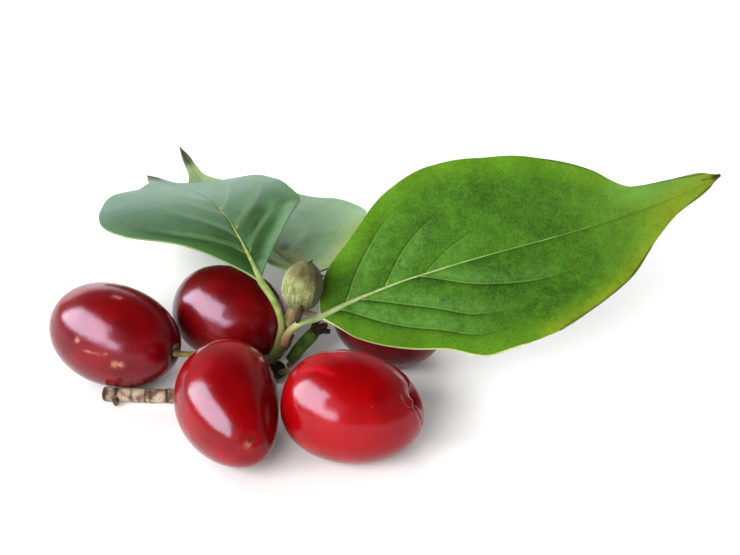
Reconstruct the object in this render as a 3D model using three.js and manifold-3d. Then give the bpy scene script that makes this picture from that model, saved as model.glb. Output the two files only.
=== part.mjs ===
// Cornelian cherry sprig, lying as picked: twig, green shoot, three leaves, bud, five fruits.
// Millimetres, +Z up, the surface it lies on is Z = 0, the viewer stands on the -Y side.
import * as THREE from "three";
import { mergeVertices } from "three/addons/utils/BufferGeometryUtils.js";
import Module from "manifold-3d";

const wasm = await Module();
wasm.setup();

// Driving sizes of the leaves
const BLADE_THICKNESS = 0.62;
const BLADE_STATIONS = 20;
const BLADE_COLUMNS = 4;
const MARGIN_END_WIDTH = 0.36;
const VEIN_RADIUS = 0.48;
const VEIN_TAPER = 0.45;
const VEIN_LIFT = 0.04;
const VEIN_SINK = 0.16;
const VEIN_STEPS = 5;
const VEIN_CROWDING = 1.4;
const WELD = 0.003;
const PETIOLE_STEPS = 5;
const MIDRIB_SIDES = 6;
const RIB_AT_BASE = 0.66;
const RIB_AT_TIP = 0.3;

// Driving sizes of the fruits
const FRUIT_SEGMENTS = 24;
const REST_SINK = 0.12;
const STALK_RADIUS = 0.45;

// Driving sizes of the wood and the green shoot
const TWIG_RADIUS = 1.02;
const RING_HEIGHT = 0.2;
const KNUCKLE_RADIUS = 1.4;
const SHOOT_RADIUS = 0.9;
const NODE_RADIUS = 1.25;
const BUD_RADIUS = 3.0;
const BUD_SCALE_COUNT = 4;
const BUD_SCALE_STEP = 0.07;
const BUD_SEAM_ANGLE = 301;

// Points that several pieces share
const KNUCKLE = [-13.9, -28.9, 1.75];
const NODE = [-12.2, -31.2, 10.3];
const BUD_BASE = [-10.35, -31.2, 14.0];
const BUD_TIP = [-8.95, -30.6, 21.8];

// Stations along a leaf at which the half widths below are given, as shares of its length
const WIDTH_STATIONS = [0, 0.02, 0.06, 0.15, 0.25, 0.36, 0.5, 0.62, 0.72, 0.8, 0.88, 0.95, 1];

// The three leaves: midrib control points, roll of the blade along its length, lift and curl
// of each half, greatest half widths, the outline of each half as shares of those widths, and
// the side veins of each half as [start, stretch along the leaf, reach, how soon it is reached]
const LEAVES = {
  leaf_right: {
    midrib: [[-7.3, -30.7, 12.3], [10.2, -25.1, 20.3], [32.7, -21.1, 18.9], [52.9, -10.9, 25.1]],
    roll: [0.743, 0.011, 0.015],
    lift: [0.1, 0.227],
    curl: [0, 0.001],
    halfWidth: [15.5, 15.6],
    outline: [
      [0, 0.15, 0.35, 0.59, 0.86, 0.98, 0.91, 0.76, 0.52, 0.24, 0.18, 0.12, 0],
      [0, 0.13, 0.37, 0.64, 0.8, 1, 0.96, 0.8, 0.61, 0.34, 0.16, 0.09, 0],
    ],
    petiole: [[-11.1, -32.6, 11.5], [-9.9, -32.6, 12.8]],
    wave: [0.22, 7.5, 0.4],
    veins: [
      [[0.07, 0.16, 0.8, 0.065], [0.172, 0.16, 0.62, 0.095], [0.275, 0.14, 0.4, 0.13]],
      [[0.045, 0.33, 0.79, 0.08], [0.1, 0.31, 0.72, 0.17], [0.258, 0.31, 0.56, 0.2]],
    ],
  },
  leaf_left: {
    midrib: [[-16, -26.2, 15.6], [-24.2, -3.7, 21.4], [-27.1, 8, 8.9], [-38, 25, 4.8]],
    roll: [-0.059, 0.078, 0.234],
    lift: [0.176, 0.208],
    curl: [-0.014, -0.0039],
    halfWidth: [17.2, 13.1],
    outline: [
      [0, 0.06, 0.19, 0.49, 0.96, 1.1, 0.99, 0.8, 0.46, 0.3, 0.17, 0.09, 0],
      [0, 0.05, 0.2, 0.55, 0.87, 0.85, 0.82, 0.7, 0.36, 0.15, 0.11, 0.06, 0],
    ],
    petiole: [[-13.3, -30.8, 11.7], [-14.1, -29.8, 13.7]],
    wave: [0.3, 5, 1.2],
    veins: [
      [[0.1, 0.15, 0.95, 0.09], [0.165, 0.29, 0.9, 0.32], [0.33, 0.25, 0.7, 0.35]],
      [[0.09, 0.2, 0.9, 0.12], [0.21, 0.27, 1.1, 0.22], [0.36, 0.25, 0.8, 0.28]],
    ],
  },
  leaf_back: {
    midrib: [[-9.8, -22.5, 14.4], [-15.5, -0.9, 6.2], [-25.1, 16.9, 0.3], [-33.4, 37, 3.8]],
    roll: [0.2, -0.271, -0.091],
    lift: [0.418, 0.218],
    curl: [-0.0082, 0.0004],
    halfWidth: [15.7, 16.3],
    outline: [
      [0, 0.12, 0.33, 0.58, 0.85, 1, 0.93, 0.74, 0.42, 0.2, 0.09, 0.05, 0],
      [0, 0.13, 0.36, 0.63, 0.88, 1.1, 0.84, 0.6, 0.42, 0.14, 0.055, 0.035, 0],
    ],
    petiole: [[-11.9, -29.4, 11.3], [-10.9, -26.8, 13.6]],
    wave: [0.25, 6, 2.3],
    veins: [
      [[0.08, 0.17, 0.85, 0.1], [0.17, 0.26, 0.8, 0.2], [0.32, 0.25, 0.65, 0.28]],
      [[0.09, 0.18, 0.85, 0.1], [0.19, 0.27, 0.8, 0.2], [0.34, 0.25, 0.65, 0.28]],
    ],
  },
};

// The five fruits: place on the surface, long axis (turn from +X, tilt up), length, width,
// end fullness, egg shape, bend of the long axis, sway of the ends, the dimples as
// [angle from the +axis end, angle round the axis, depth, radius], and the creases that run
// out of the first dimple as [the two angles where they end, depth, width]
const FRUITS = {
  fruit_left: {
    at: [-37.9, -28.1], turn: -25.3, tilt: -2.5, length: 20.8, width: 15.15,
    fullness: 0.97, egg: -0.04, bend: 0.23, sway: 0,
    dimples: [[0, 0, 1.1, 1.5], [180, 0, 0.25, 0.9]],
  },
  fruit_back: {
    at: [-20.9, -22], turn: -26.7, tilt: -5.5, length: 18.2, width: 14.4,
    fullness: 0.85, egg: -0.04, bend: 0.08, sway: 0.14,
    dimples: [[0, 0, 1.1, 1.5], [180, 0, 0.25, 0.9]],
  },
  fruit_front: {
    at: [-19.87, -46.43], turn: -69.4, tilt: -4.6, length: 21.4, width: 14.65,
    fullness: 0.86, egg: -0.23, bend: 0.89, sway: -0.54,
    dimples: [[180, 0, 1.1, 1.5], [20, 100, 0.22, 0.9]],
  },
  fruit_right: {
    at: [-2.45, -46.95], turn: 5.4, tilt: -10.5, length: 20.4, width: 15.85,
    fullness: 0.95, egg: -0.09, bend: -0.23, sway: -0.44,
    dimples: [[30, 98, 0.9, 1.7], [130, -8, 0.8, 1.6]],
    creases: [[70, 70, 0.8, 1.2], [56, 118, 0.8, 1.1], [14, 176, 0.8, 1.2]],
  },
  fruit_hidden: {
    at: [3.1, -22.9], turn: -19.6, tilt: 1, length: 17.9, width: 15.8,
    fullness: 0.99, egg: 0.04, bend: -0.1, sway: 0,
    dimples: [[180, 0, 1.1, 1.5], [0, 0, 0.25, 0.9]],
  },
};

// The fruit stalks, from the twig end to the hollow of each fruit
const STALKS = {
  stalk_left: [
    [-15.45, -29.4, 2.8], [-17.3, -30, 5.4], [-22.5, -30.9, 6.6], [-26.6, -31.7, 6.5], [-29, -32.3, 7.1],
  ],
  stalk_back: [[-13.9, -27.1, 2.7], [-13, -26.8, 4], [-12.1, -26.6, 5.4], [-12.7, -26.2, 6.1]],
  stalk_front: [
    [-14.9, -30.45, 2.6], [-17.4, -31.7, 6.2], [-21, -32.2, 8.7], [-23.6, -33.6, 9], [-22.8, -35.8, 8.3],
  ],
  stalk_right: [[-13.2, -30.6, 2.5], [-12.8, -32.4, 3.9], [-11.8, -36, 6.2], [-9.9, -41, 7.4]],
  stalk_hidden: [[-12.4, -27.6, 1.5], [-10.7, -25.8, 2.2], [-8.4, -21.8, 5], [-5.9, -19.9, 7.4]],
};

// Colours and finishes
const finish = (color, roughness) => new THREE.MeshStandardMaterial({ color, roughness, metalness: 0 });
const leafGreen = () => finish("#4f8a2d", 0.5);
const leafBlueGreen = () => finish("#6b9a6a", 0.55);
const cherryRed = () => finish("#a30c14", 0.18);
const brightRed = () => finish("#c00a0c", 0.16);
const shootGreen = () => finish("#5c7a34", 0.55);
const stalkTan = () => finish("#8c8a4a", 0.6);
const bark = () => finish("#94825f", 0.85);
const budGreen = () => finish("#a3a473", 0.7);
const darkBrown = () => finish("#3f2c20", 0.8);

// Vector and curve helpers
const vec = (p) => new THREE.Vector3(p[0], p[1], p[2]);

function bezier(points) {
  return new THREE.CubicBezierCurve3(...points.map(vec));
}

function smoothPath(points, steps) {
  const curve = new THREE.CatmullRomCurve3(points.map(vec), false, "centripetal");
  return curve.getPoints(steps);
}

// Value between given stations, with a curve that never overshoots them
function between(stations, values, t) {
  const last = stations.length - 1;
  let i = 0;
  while (i < last - 1 && t > stations[i + 1]) {
    i += 1;
  }
  const slope = (k) => {
    if (k < 0 || k >= last) {
      return 0;
    }
    return (values[k + 1] - values[k]) / (stations[k + 1] - stations[k]);
  };
  const tangent = (k) => {
    if (k === 0) {
      return slope(0);
    }
    if (k === last) {
      return slope(last - 1);
    }
    const before = slope(k - 1);
    const after = slope(k);
    return before * after <= 0 ? 0 : (2 * before * after) / (before + after);
  };
  const span = stations[i + 1] - stations[i];
  const u = (t - stations[i]) / span;
  const a = 2 * u ** 3 - 3 * u ** 2 + 1;
  const b = u ** 3 - 2 * u ** 2 + u;
  const c = -2 * u ** 3 + 3 * u ** 2;
  const d = u ** 3 - u ** 2;
  return a * values[i] + b * span * tangent(i) + c * values[i + 1] + d * span * tangent(i + 1);
}

// Closed body from rings of equal count, its two ends filled to a middle point
function loft(rings, startPoint, endPoint) {
  const count = rings[0].length;
  const positions = [];
  const put = (p) => positions.push(p.x, p.y, p.z);
  rings.forEach((ring) => ring.forEach(put));
  put(startPoint);
  put(endPoint);
  const start = rings.length * count;
  const end = start + 1;
  const index = [];
  for (let k = 0; k < count; k += 1) {
    const next = (k + 1) % count;
    index.push(start, next, k);
    for (let r = 0; r < rings.length - 1; r += 1) {
      const a = r * count + k;
      const b = r * count + next;
      index.push(a, b, b + count, a, b + count, a + count);
    }
    const top = (rings.length - 1) * count;
    index.push(end, top + k, top + next);
  }
  const geometry = new THREE.BufferGeometry();
  geometry.setAttribute("position", new THREE.Float32BufferAttribute(positions, 3));
  geometry.setIndex(index);
  return geometry;
}

// Round body along a path, its radius given for each point of the path
function taperedTube(path, radii, sides, twist = 0) {
  const rings = [];
  let across = new THREE.Vector3(0, 0, 1);
  path.forEach((point, i) => {
    const before = path[Math.max(0, i - 1)];
    const after = path[Math.min(path.length - 1, i + 1)];
    const along = after.clone().sub(before).normalize();
    across.sub(along.clone().multiplyScalar(across.dot(along)));
    if (across.length() < 0.05) {
      across = new THREE.Vector3(1, 0, 0).sub(along.clone().multiplyScalar(along.x));
    }
    across.normalize();
    const other = along.clone().cross(across);
    const ring = [];
    for (let k = 0; k < sides; k += 1) {
      const angle = twist + (2 * Math.PI * k) / sides;
      const spoke = across.clone().multiplyScalar(Math.cos(angle)).addScaledVector(other, Math.sin(angle));
      ring.push(point.clone().addScaledVector(spoke, radii[i]));
    }
    rings.push(ring);
  });
  return loft(rings, path[0].clone(), path[path.length - 1].clone());
}

// Joining and cutting
function toManifold(geometry) {
  const bare = geometry.clone();
  bare.deleteAttribute("normal");
  bare.deleteAttribute("uv");
  const merged = mergeVertices(bare, 1e-5);
  return new wasm.Manifold(new wasm.Mesh({
    numProp: 3,
    vertProperties: Float32Array.from(merged.attributes.position.array),
    triVerts: Uint32Array.from(merged.index.array),
  }));
}

// Points closer together than the weld become one, and triangles that this closes up go
function toGeometry(solid) {
  const mesh = solid.getMesh();
  const loose = new THREE.BufferGeometry();
  loose.setAttribute("position", new THREE.Float32BufferAttribute(mesh.vertProperties, 3));
  loose.setIndex(Array.from(mesh.triVerts));
  const geometry = mergeVertices(loose, WELD);
  const corners = geometry.index.array;
  const kept = [];
  for (let i = 0; i < corners.length; i += 3) {
    const [a, b, c] = [corners[i], corners[i + 1], corners[i + 2]];
    if (a !== b && b !== c && c !== a) {
      kept.push(a, b, c);
    }
  }
  geometry.setIndex(kept);
  return geometry;
}

function joined(geometries) {
  const solid = geometries.map(toManifold).reduce((whole, piece) => whole.add(piece));
  return toGeometry(solid);
}

// Everything under the surface it lies on is cut away, which leaves small flat spots
function cutFlat(geometry) {
  const ground = new THREE.BoxGeometry(300, 300, 20);
  ground.translate(0, 0, -10);
  return toGeometry(toManifold(geometry).subtract(toManifold(ground)));
}

function named(name, geometry, material) {
  geometry.computeVertexNormals();
  const mesh = new THREE.Mesh(geometry, material);
  mesh.name = name;
  return mesh;
}

// Frame of a leaf at share t of its midrib: along, to the left of it, and out of the upper face
function leafFrame(leaf, t) {
  const curve = bezier(leaf.midrib);
  const point = curve.getPoint(t);
  const along = curve.getTangent(t).normalize();
  const level = new THREE.Vector3(0, 0, 1).cross(along).normalize();
  const rise = along.clone().cross(level);
  const roll = leaf.roll[0] + leaf.roll[1] * t + leaf.roll[2] * t * t;
  const side = level.clone().multiplyScalar(Math.cos(roll)).addScaledVector(rise, Math.sin(roll));
  const out = along.clone().cross(side);
  return { point, side, out };
}

// Point of the middle face: t from base to tip, s from -1 (right margin) to 1 (left margin)
function leafPoint(leaf, t, s) {
  const half = s >= 0 ? 0 : 1;
  const { point, side, out } = leafFrame(leaf, t);
  const share = between(WIDTH_STATIONS, leaf.outline[half], t);
  const width = Math.hypot(leaf.halfWidth[half] * share, MARGIN_END_WIDTH);
  const reach = Math.abs(s) * width;
  const bow = (leaf.curl[half] * reach) / 2;
  const angle = leaf.lift[half] + bow;
  const chord = Math.abs(bow) < 1e-6 ? reach : (reach * Math.sin(bow)) / bow;
  const [height, count, phase] = leaf.wave;
  const wave = height * s * s * Math.sin(2 * Math.PI * count * t + phase + half);
  return point
    .addScaledVector(side, Math.sign(s) * chord * Math.cos(angle))
    .addScaledVector(out, chord * Math.sin(angle) + wave);
}

function leafNormal(leaf, t, s) {
  const t0 = Math.max(0, t - 0.01);
  const t1 = Math.min(1, t + 0.01);
  const s0 = Math.max(-1, s - 0.06);
  const s1 = Math.min(1, s + 0.06);
  const along = leafPoint(leaf, t1, s).sub(leafPoint(leaf, t0, s));
  const across = leafPoint(leaf, t, s1).sub(leafPoint(leaf, t, s0));
  return along.cross(across).normalize();
}

// Blade with the same triangles on both faces
function blade(leaf) {
  const columns = 2 * BLADE_COLUMNS;
  const rings = [];
  for (let i = 0; i <= BLADE_STATIONS; i += 1) {
    const t = i / BLADE_STATIONS;
    const upper = [];
    const lower = [];
    for (let j = 0; j <= columns; j += 1) {
      const s = 1 - (2 * j) / columns;
      const middle = leafPoint(leaf, t, s);
      const out = leafNormal(leaf, t, s);
      upper.push(middle.clone().addScaledVector(out, BLADE_THICKNESS / 2));
      lower.push(middle.clone().addScaledVector(out, -BLADE_THICKNESS / 2));
    }
    rings.push({ upper, lower });
  }
  const row = columns + 1;
  const positions = [];
  rings.forEach(({ upper, lower }) => {
    upper.concat(lower).forEach((p) => positions.push(p.x, p.y, p.z));
  });
  const at = (i, j, face) => i * 2 * row + face * row + j;
  const index = [];
  const quad = (a, b, c, d) => index.push(a, b, c, a, c, d);
  for (let i = 0; i < BLADE_STATIONS; i += 1) {
    for (let j = 0; j < columns; j += 1) {
      quad(at(i, j, 0), at(i, j + 1, 0), at(i + 1, j + 1, 0), at(i + 1, j, 0));
      quad(at(i, j, 1), at(i + 1, j, 1), at(i + 1, j + 1, 1), at(i, j + 1, 1));
    }
    quad(at(i, 0, 0), at(i + 1, 0, 0), at(i + 1, 0, 1), at(i, 0, 1));
    quad(at(i, columns, 1), at(i + 1, columns, 1), at(i + 1, columns, 0), at(i, columns, 0));
  }
  for (let j = 0; j < columns; j += 1) {
    quad(at(0, j, 1), at(0, j + 1, 1), at(0, j + 1, 0), at(0, j, 0));
    const n = BLADE_STATIONS;
    quad(at(n, j, 0), at(n, j + 1, 0), at(n, j + 1, 1), at(n, j, 1));
  }
  const geometry = new THREE.BufferGeometry();
  geometry.setAttribute("position", new THREE.Float32BufferAttribute(positions, 3));
  geometry.setIndex(index);
  return geometry;
}

// Petiole that runs on as the midrib, sinking into the blade before the tip
function petioleAndMidrib(leaf) {
  const stem = leaf.petiole.map(vec);
  const ribStations = [0, 0.06, 0.14, 0.24, 0.36, 0.5, 0.64, 0.78, 0.9];
  const rib = ribStations.map((t) => bezier(leaf.midrib).getPoint(t));
  const curve = new THREE.CatmullRomCurve3(stem.concat(rib.slice(0, 2)), false, "centripetal");
  const bladeStart = stem.length / (stem.length + 1);
  const lead = [];
  for (let i = 0; i < PETIOLE_STEPS; i += 1) {
    lead.push(curve.getPoint((i / PETIOLE_STEPS) * bladeStart));
  }
  const path = lead.concat(rib);
  const radii = lead.map((_, i) => RIB_AT_BASE - 0.02 * i);
  ribStations.forEach((t) => radii.push(RIB_AT_BASE + (RIB_AT_TIP - RIB_AT_BASE) * Math.sqrt(t)));
  radii[0] += 0.04;
  return taperedTube(path, radii, MIDRIB_SIDES);
}

// Raised side vein: leaves the midrib at its start and turns more and more towards the tip
function sideVein(leaf, half, [start, stretch, reach, turning]) {
  const sign = half === 0 ? 1 : -1;
  const path = [];
  const outs = [];
  for (let i = 0; i <= VEIN_STEPS; i += 1) {
    const u = i / VEIN_STEPS;
    const run = stretch * u ** VEIN_CROWDING;
    const t = start + run;
    const s = sign * reach * (1 - Math.exp(-run / turning));
    const out = leafNormal(leaf, t, s);
    outs.push(out);
    path.push(leafPoint(leaf, t, s).addScaledVector(out, VEIN_LIFT - VEIN_SINK * u ** 3));
  }
  const rings = path.map((point, i) => {
    const before = path[Math.max(0, i - 1)];
    const after = path[Math.min(VEIN_STEPS, i + 1)];
    const across = after.clone().sub(before).cross(outs[i]).normalize();
    const radius = VEIN_RADIUS * (1 - (VEIN_TAPER * i) / VEIN_STEPS);
    return [90, 210, 330].map((degrees) => {
      const angle = THREE.MathUtils.degToRad(degrees);
      return point.clone()
        .addScaledVector(outs[i], radius * Math.sin(angle))
        .addScaledVector(across, -radius * Math.cos(angle));
    });
  });
  return loft(rings, path[0].clone(), path[VEIN_STEPS].clone());
}

function leafBody(name, material) {
  const leaf = LEAVES[name];
  const bodies = [blade(leaf), petioleAndMidrib(leaf)];
  leaf.veins.forEach((list, half) => {
    list.forEach((vein) => bodies.push(sideVein(leaf, half, vein)));
  });
  return named(name, joined(bodies), material);
}

// Angles from the end of the fruit at which it is sliced, closer together at both ends
function fruitRings() {
  const angles = [6, 12, 19, 28];
  for (let a = 39; a < 90; a += 12) {
    angles.push(a);
  }
  const far = angles.map((a) => 180 - a).reverse();
  return angles.concat(far);
}

// Point of a fruit's skin before it is turned: angle from the +axis end, angle round the axis
function skinPoint(fruit, fromEnd, round) {
  const a = THREE.MathUtils.degToRad(fromEnd);
  const b = THREE.MathUtils.degToRad(round);
  const radius = (fruit.width / 2) * Math.sin(a) ** fruit.fullness * (1 + fruit.egg * Math.cos(a));
  return new THREE.Vector3(
    (fruit.length / 2) * Math.cos(a),
    radius * Math.cos(b) + fruit.bend * Math.cos(a) ** 2 + fruit.sway * Math.sin(2 * a),
    radius * Math.sin(b),
  );
}

// The same point pushed in by the fruit's dimples and by the creases out of the first one
function dentedPoint(fruit, fromEnd, round) {
  const point = skinPoint(fruit, fromEnd, round);
  const result = point.clone();
  const hollow = skinPoint(fruit, fruit.dimples[0][0], fruit.dimples[0][1]);
  fruit.dimples.forEach(([placeFromEnd, placeRound, depth, radius]) => {
    const centre = skinPoint(fruit, placeFromEnd, placeRound);
    const away = point.distanceTo(centre) / radius;
    result.addScaledVector(centre.normalize(), -depth * Math.exp(-away * away));
  });
  (fruit.creases ?? []).forEach(([endFromEnd, endRound, depth, width]) => {
    const line = new THREE.Line3(hollow, skinPoint(fruit, endFromEnd, endRound));
    const share = line.closestPointToPointParameter(point, true);
    const away = point.distanceTo(line.at(share, new THREE.Vector3())) / width;
    result.addScaledVector(point.clone().normalize(), -depth * (1 - share) * Math.exp(-away * away));
  });
  return result;
}

function fruitBody(name, material) {
  const fruit = FRUITS[name];
  const rings = fruitRings().map((fromEnd) => {
    const ring = [];
    for (let k = 0; k < FRUIT_SEGMENTS; k += 1) {
      ring.push(dentedPoint(fruit, fromEnd, (360 * k) / FRUIT_SEGMENTS));
    }
    return ring;
  });
  const geometry = loft(rings.reverse(), dentedPoint(fruit, 180, 0), dentedPoint(fruit, 0, 0));
  geometry.rotateY(-THREE.MathUtils.degToRad(fruit.tilt));
  geometry.rotateZ(THREE.MathUtils.degToRad(fruit.turn));
  geometry.computeBoundingBox();
  geometry.translate(fruit.at[0], fruit.at[1], -geometry.boundingBox.min.z - REST_SINK);
  return named(name, cutFlat(geometry), material);
}

function fruitStalk(name) {
  const path = smoothPath(STALKS[name], 9);
  const radii = path.map((_, i) => STALK_RADIUS + (i > 7 ? 0.08 : 0));
  return named(name, taperedTube(path, radii, 8), stalkTan());
}

// Last year's wood: rings where bud scales sat, a broken end, a stub and the swollen far end
function woodyTwig() {
  const line = [[-39.5, -34.3, 1.2], [-34, -34.5, 1.08], [-29, -34.6, 1.1], [-22, -32.8, 1.3], KNUCKLE];
  const steps = 30;
  const path = smoothPath(line, steps);
  const rings = [1, 4, 7, 10, 12, 14, 19, 23];
  const radii = path.map((_, i) => {
    const ring = rings.includes(i) ? RING_HEIGHT : 0;
    return TWIG_RADIUS + ring + 0.25 * Math.max(0, i / steps - 0.6);
  });
  const rod = taperedTube(path, radii, 9);
  const stub = taperedTube(smoothPath([[-37.6, -34.6, 1.2], [-37.4, -35.8, 1], [-37.2, -36.5, 0.9]], 4),
    [0.62, 0.6, 0.62, 0.55, 0.4], 7);
  const knuckle = new THREE.SphereGeometry(KNUCKLE_RADIUS, 12, 8);
  knuckle.translate(...KNUCKLE);
  return named("woody_twig", cutFlat(joined([rod, stub, knuckle])), bark());
}

// This year's shoot: up from the twig end to the node where the petioles part
function greenShoot() {
  const path = smoothPath([[-13.75, -28.65, 3.5], [-13.2, -29.7, 6.5], NODE], 8);
  const radii = path.map((_, i) => SHOOT_RADIUS + (i === 0 ? 0.1 : 0) + (i > 6 ? 0.1 : 0));
  const stem = taperedTube(path, radii, 10);
  const node = new THREE.SphereGeometry(NODE_RADIUS, 12, 8);
  node.scale(0.95, 0.95, 1.05);
  node.translate(...NODE);
  return named("green_shoot", joined([stem, node]), shootGreen());
}

// Thick stalk of a flower cluster that has dropped, with its dry forked end
function spentStalk() {
  const path = smoothPath([[-12.05, -28.15, 2.95], [-10.3, -27.8, 5.2], [-8.2, -27.1, 7.4]], 7);
  const radii = [0.58, 0.68, 0.76, 0.8, 0.82, 0.86, 0.92, 0.86];
  const stalk = taperedTube(path, radii, 10);
  const remains = [
    [[-8.5, -27.2, 7.2], [-7.4, -26.8, 8.1], [-6.3, -26.6, 8.3]],
    [[-8.5, -27.2, 7.2], [-7.2, -26.6, 7.2], [-6, -26.2, 6.9]],
    [[-8.6, -27.2, 7.2], [-8.2, -26.6, 8.3], [-7.9, -26.3, 8.9]],
  ].map((prong) => taperedTube(smoothPath(prong, 4), [0.6, 0.56, 0.48, 0.42, 0.36], 7));
  return named("spent_stalk", joined([stalk, ...remains]), shootGreen());
}

// Round winter bud on its stalk, its scales meeting in a short point, each edge over the next
function flowerBud() {
  const base = vec(BUD_BASE);
  const axis = vec(BUD_TIP).sub(base);
  const height = axis.length();
  axis.normalize();
  const level = new THREE.Vector3(1, 0, 0);
  const side = level.clone().sub(axis.clone().multiplyScalar(axis.x)).normalize();
  const front = axis.clone().cross(side);
  const profile = [
    [0, 0.28], [0.07, 0.52], [0.17, 0.78], [0.3, 0.96], [0.44, 1.02],
    [0.58, 0.97], [0.7, 0.84], [0.81, 0.64], [0.9, 0.4], [0.96, 0.2],
  ];
  const segments = 20;
  const rings = profile.map(([up, share]) => {
    const ring = [];
    for (let k = 0; k < segments; k += 1) {
      const angle = (2 * Math.PI * k) / segments;
      const turns = angle / (2 * Math.PI) - BUD_SEAM_ANGLE / 360 + 1;
      const acrossScale = (turns * BUD_SCALE_COUNT) % 1;
      const radius = BUD_RADIUS * share * (1 + BUD_SCALE_STEP * (acrossScale - 0.6));
      ring.push(base.clone().addScaledVector(axis, up * height)
        .addScaledVector(side, radius * Math.cos(angle))
        .addScaledVector(front, radius * Math.sin(angle)));
    }
    return ring;
  });
  const body = loft(rings, base.clone(), vec(BUD_TIP));
  const stalkPath = smoothPath([[-11.6, -31.25, 11.95], [-11.1, -31.2, 13], [-10.3, -31.2, 14.6]], 4);
  const stalk = taperedTube(stalkPath, [0.6, 0.62, 0.7, 0.85, 1.1], 10);
  const bract = taperedTube(smoothPath([[-10.6, -31.1, 13.9], [-9.3, -30.8, 14], [-8.1, -30.5, 14.4]], 3),
    [0.7, 0.6, 0.45, 0.3], 8);
  const hook = taperedTube(smoothPath([[-8.2, -31.2, 19.6], [-7.5, -31.3, 19.9], [-6.9, -31.2, 19.9]], 3),
    [0.7, 0.55, 0.42, 0.3], 8);
  return named("flower_bud", joined([body, stalk, bract, hook]), budGreen());
}

// Narrow dry scale that stands in front of the bud stalk
function budScale() {
  const path = smoothPath([[-10.6, -33.35, 13.75], [-10.35, -33.9, 14.9], [-10.05, -34.5, 16.3]], 5);
  return named("bud_scale", taperedTube(path, [0.3, 0.42, 0.45, 0.42, 0.36, 0.3], 7), darkBrown());
}

// The whole sprig, set over the middle of its footprint
const sprig = new THREE.Group();
sprig.name = "cornelian_cherry_sprig";
sprig.add(
  woodyTwig(),
  greenShoot(),
  spentStalk(),
  leafBody("leaf_right", leafGreen()),
  leafBody("leaf_left", leafBlueGreen()),
  leafBody("leaf_back", leafBlueGreen()),
  flowerBud(),
  budScale(),
  fruitBody("fruit_left", cherryRed()),
  fruitBody("fruit_back", cherryRed()),
  fruitBody("fruit_front", cherryRed()),
  fruitBody("fruit_right", brightRed()),
  fruitBody("fruit_hidden", cherryRed()),
);
Object.keys(STALKS).forEach((name) => sprig.add(fruitStalk(name)));

const footprint = new THREE.Box3().setFromObject(sprig);
const middle = footprint.getCenter(new THREE.Vector3());
sprig.position.set(-middle.x, -middle.y, 0);

export default sprig;
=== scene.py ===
"""Looks of the cornelian cherry sprig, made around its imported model.

Places and sizes are in millimetres in the sprig's own axes, with the viewer on the -Y side, and
become metres in the shared frame when a mesh is written.
"""

import logging
import math
from collections.abc import Callable, Mapping, Sequence
from dataclasses import dataclass
from enum import Enum
from functools import partial, reduce

import bpy
import numpy as np
from bpy.types import Material, Mesh, NodeSocket, Object
from mathutils import Matrix, Vector


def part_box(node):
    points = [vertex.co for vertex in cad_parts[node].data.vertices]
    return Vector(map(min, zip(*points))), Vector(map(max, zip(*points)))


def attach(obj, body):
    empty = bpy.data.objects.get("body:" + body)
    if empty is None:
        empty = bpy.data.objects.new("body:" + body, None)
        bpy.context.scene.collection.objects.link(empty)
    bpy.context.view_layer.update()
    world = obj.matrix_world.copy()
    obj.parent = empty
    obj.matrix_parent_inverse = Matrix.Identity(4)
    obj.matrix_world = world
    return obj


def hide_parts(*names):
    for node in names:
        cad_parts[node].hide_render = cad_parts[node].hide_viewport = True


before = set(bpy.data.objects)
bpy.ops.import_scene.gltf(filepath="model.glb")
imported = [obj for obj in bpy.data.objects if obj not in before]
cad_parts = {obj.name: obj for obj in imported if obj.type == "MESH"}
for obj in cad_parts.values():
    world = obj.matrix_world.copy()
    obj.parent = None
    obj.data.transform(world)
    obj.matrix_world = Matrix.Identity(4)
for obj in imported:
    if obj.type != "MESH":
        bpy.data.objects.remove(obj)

LOG = logging.getLogger("sprig")
Point = tuple[float, float, float]
Pair = tuple[float, float]
Quad = tuple[float, float, float, float]
Colour = Quad
# Height of a cloud pattern, size of its patches, both in millimetres, and number of finer layers
Bumps = tuple[float, float, int]

MM = 0.001
# Moves the sprig's own axes to the middle of its footprint
FOOTPRINT_SHIFT = np.array((-2.70255, 9.6813, 0.0))
BODY = "root"

# Stations along a leaf at which its outline is given, as shares of its length
WIDTH_STATIONS = (0, 0.02, 0.06, 0.15, 0.25, 0.36, 0.5, 0.62, 0.72, 0.8, 0.88, 0.95, 1)
# Width of half a blade at its very tip, and the length that a whole UV map spans, in millimetres
MARGIN_END_WIDTH = 0.14
UV_SPAN = 70.0

KNUCKLE = (-13.9, -28.9, 1.75)
# How deep a fruit sits in the surface before it is cut flat
REST_SINK = 0.12
# Least divisor, so that a line without length doesn't divide by zero
TINY = 1e-12


def shade(red: float, green: float, blue: float) -> Colour:
    """Colour given as it looks on a screen, 0 to 255, as the linear colour that a shader takes."""
    parts = [v / 255 for v in (red, green, blue)]
    return (*[v / 12.92 if v <= 0.04045 else ((v + 0.055) / 1.055) ** 2.4 for v in parts], 1.0)


def metres(points: np.ndarray) -> np.ndarray:
    """Points in the sprig's own axes as points of the shared frame."""
    return (np.asarray(points, float) + FOOTPRINT_SHIFT) * MM


def unit(rows: np.ndarray) -> np.ndarray:
    """Rows brought to length one."""
    return rows / np.linalg.norm(rows, axis=-1, keepdims=True)


def fall(distance: np.ndarray, width: float | np.ndarray) -> np.ndarray:
    """Bell that is one at distance zero and fades within about two widths."""
    return np.exp(-((distance / width) ** 2))


def ramp(low: float, high: float, value: np.ndarray) -> np.ndarray:
    """Smooth step from zero at low to one at high."""
    share = np.clip((value - low) / (high - low), 0, 1)
    return share * share * (3 - 2 * share)


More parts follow.
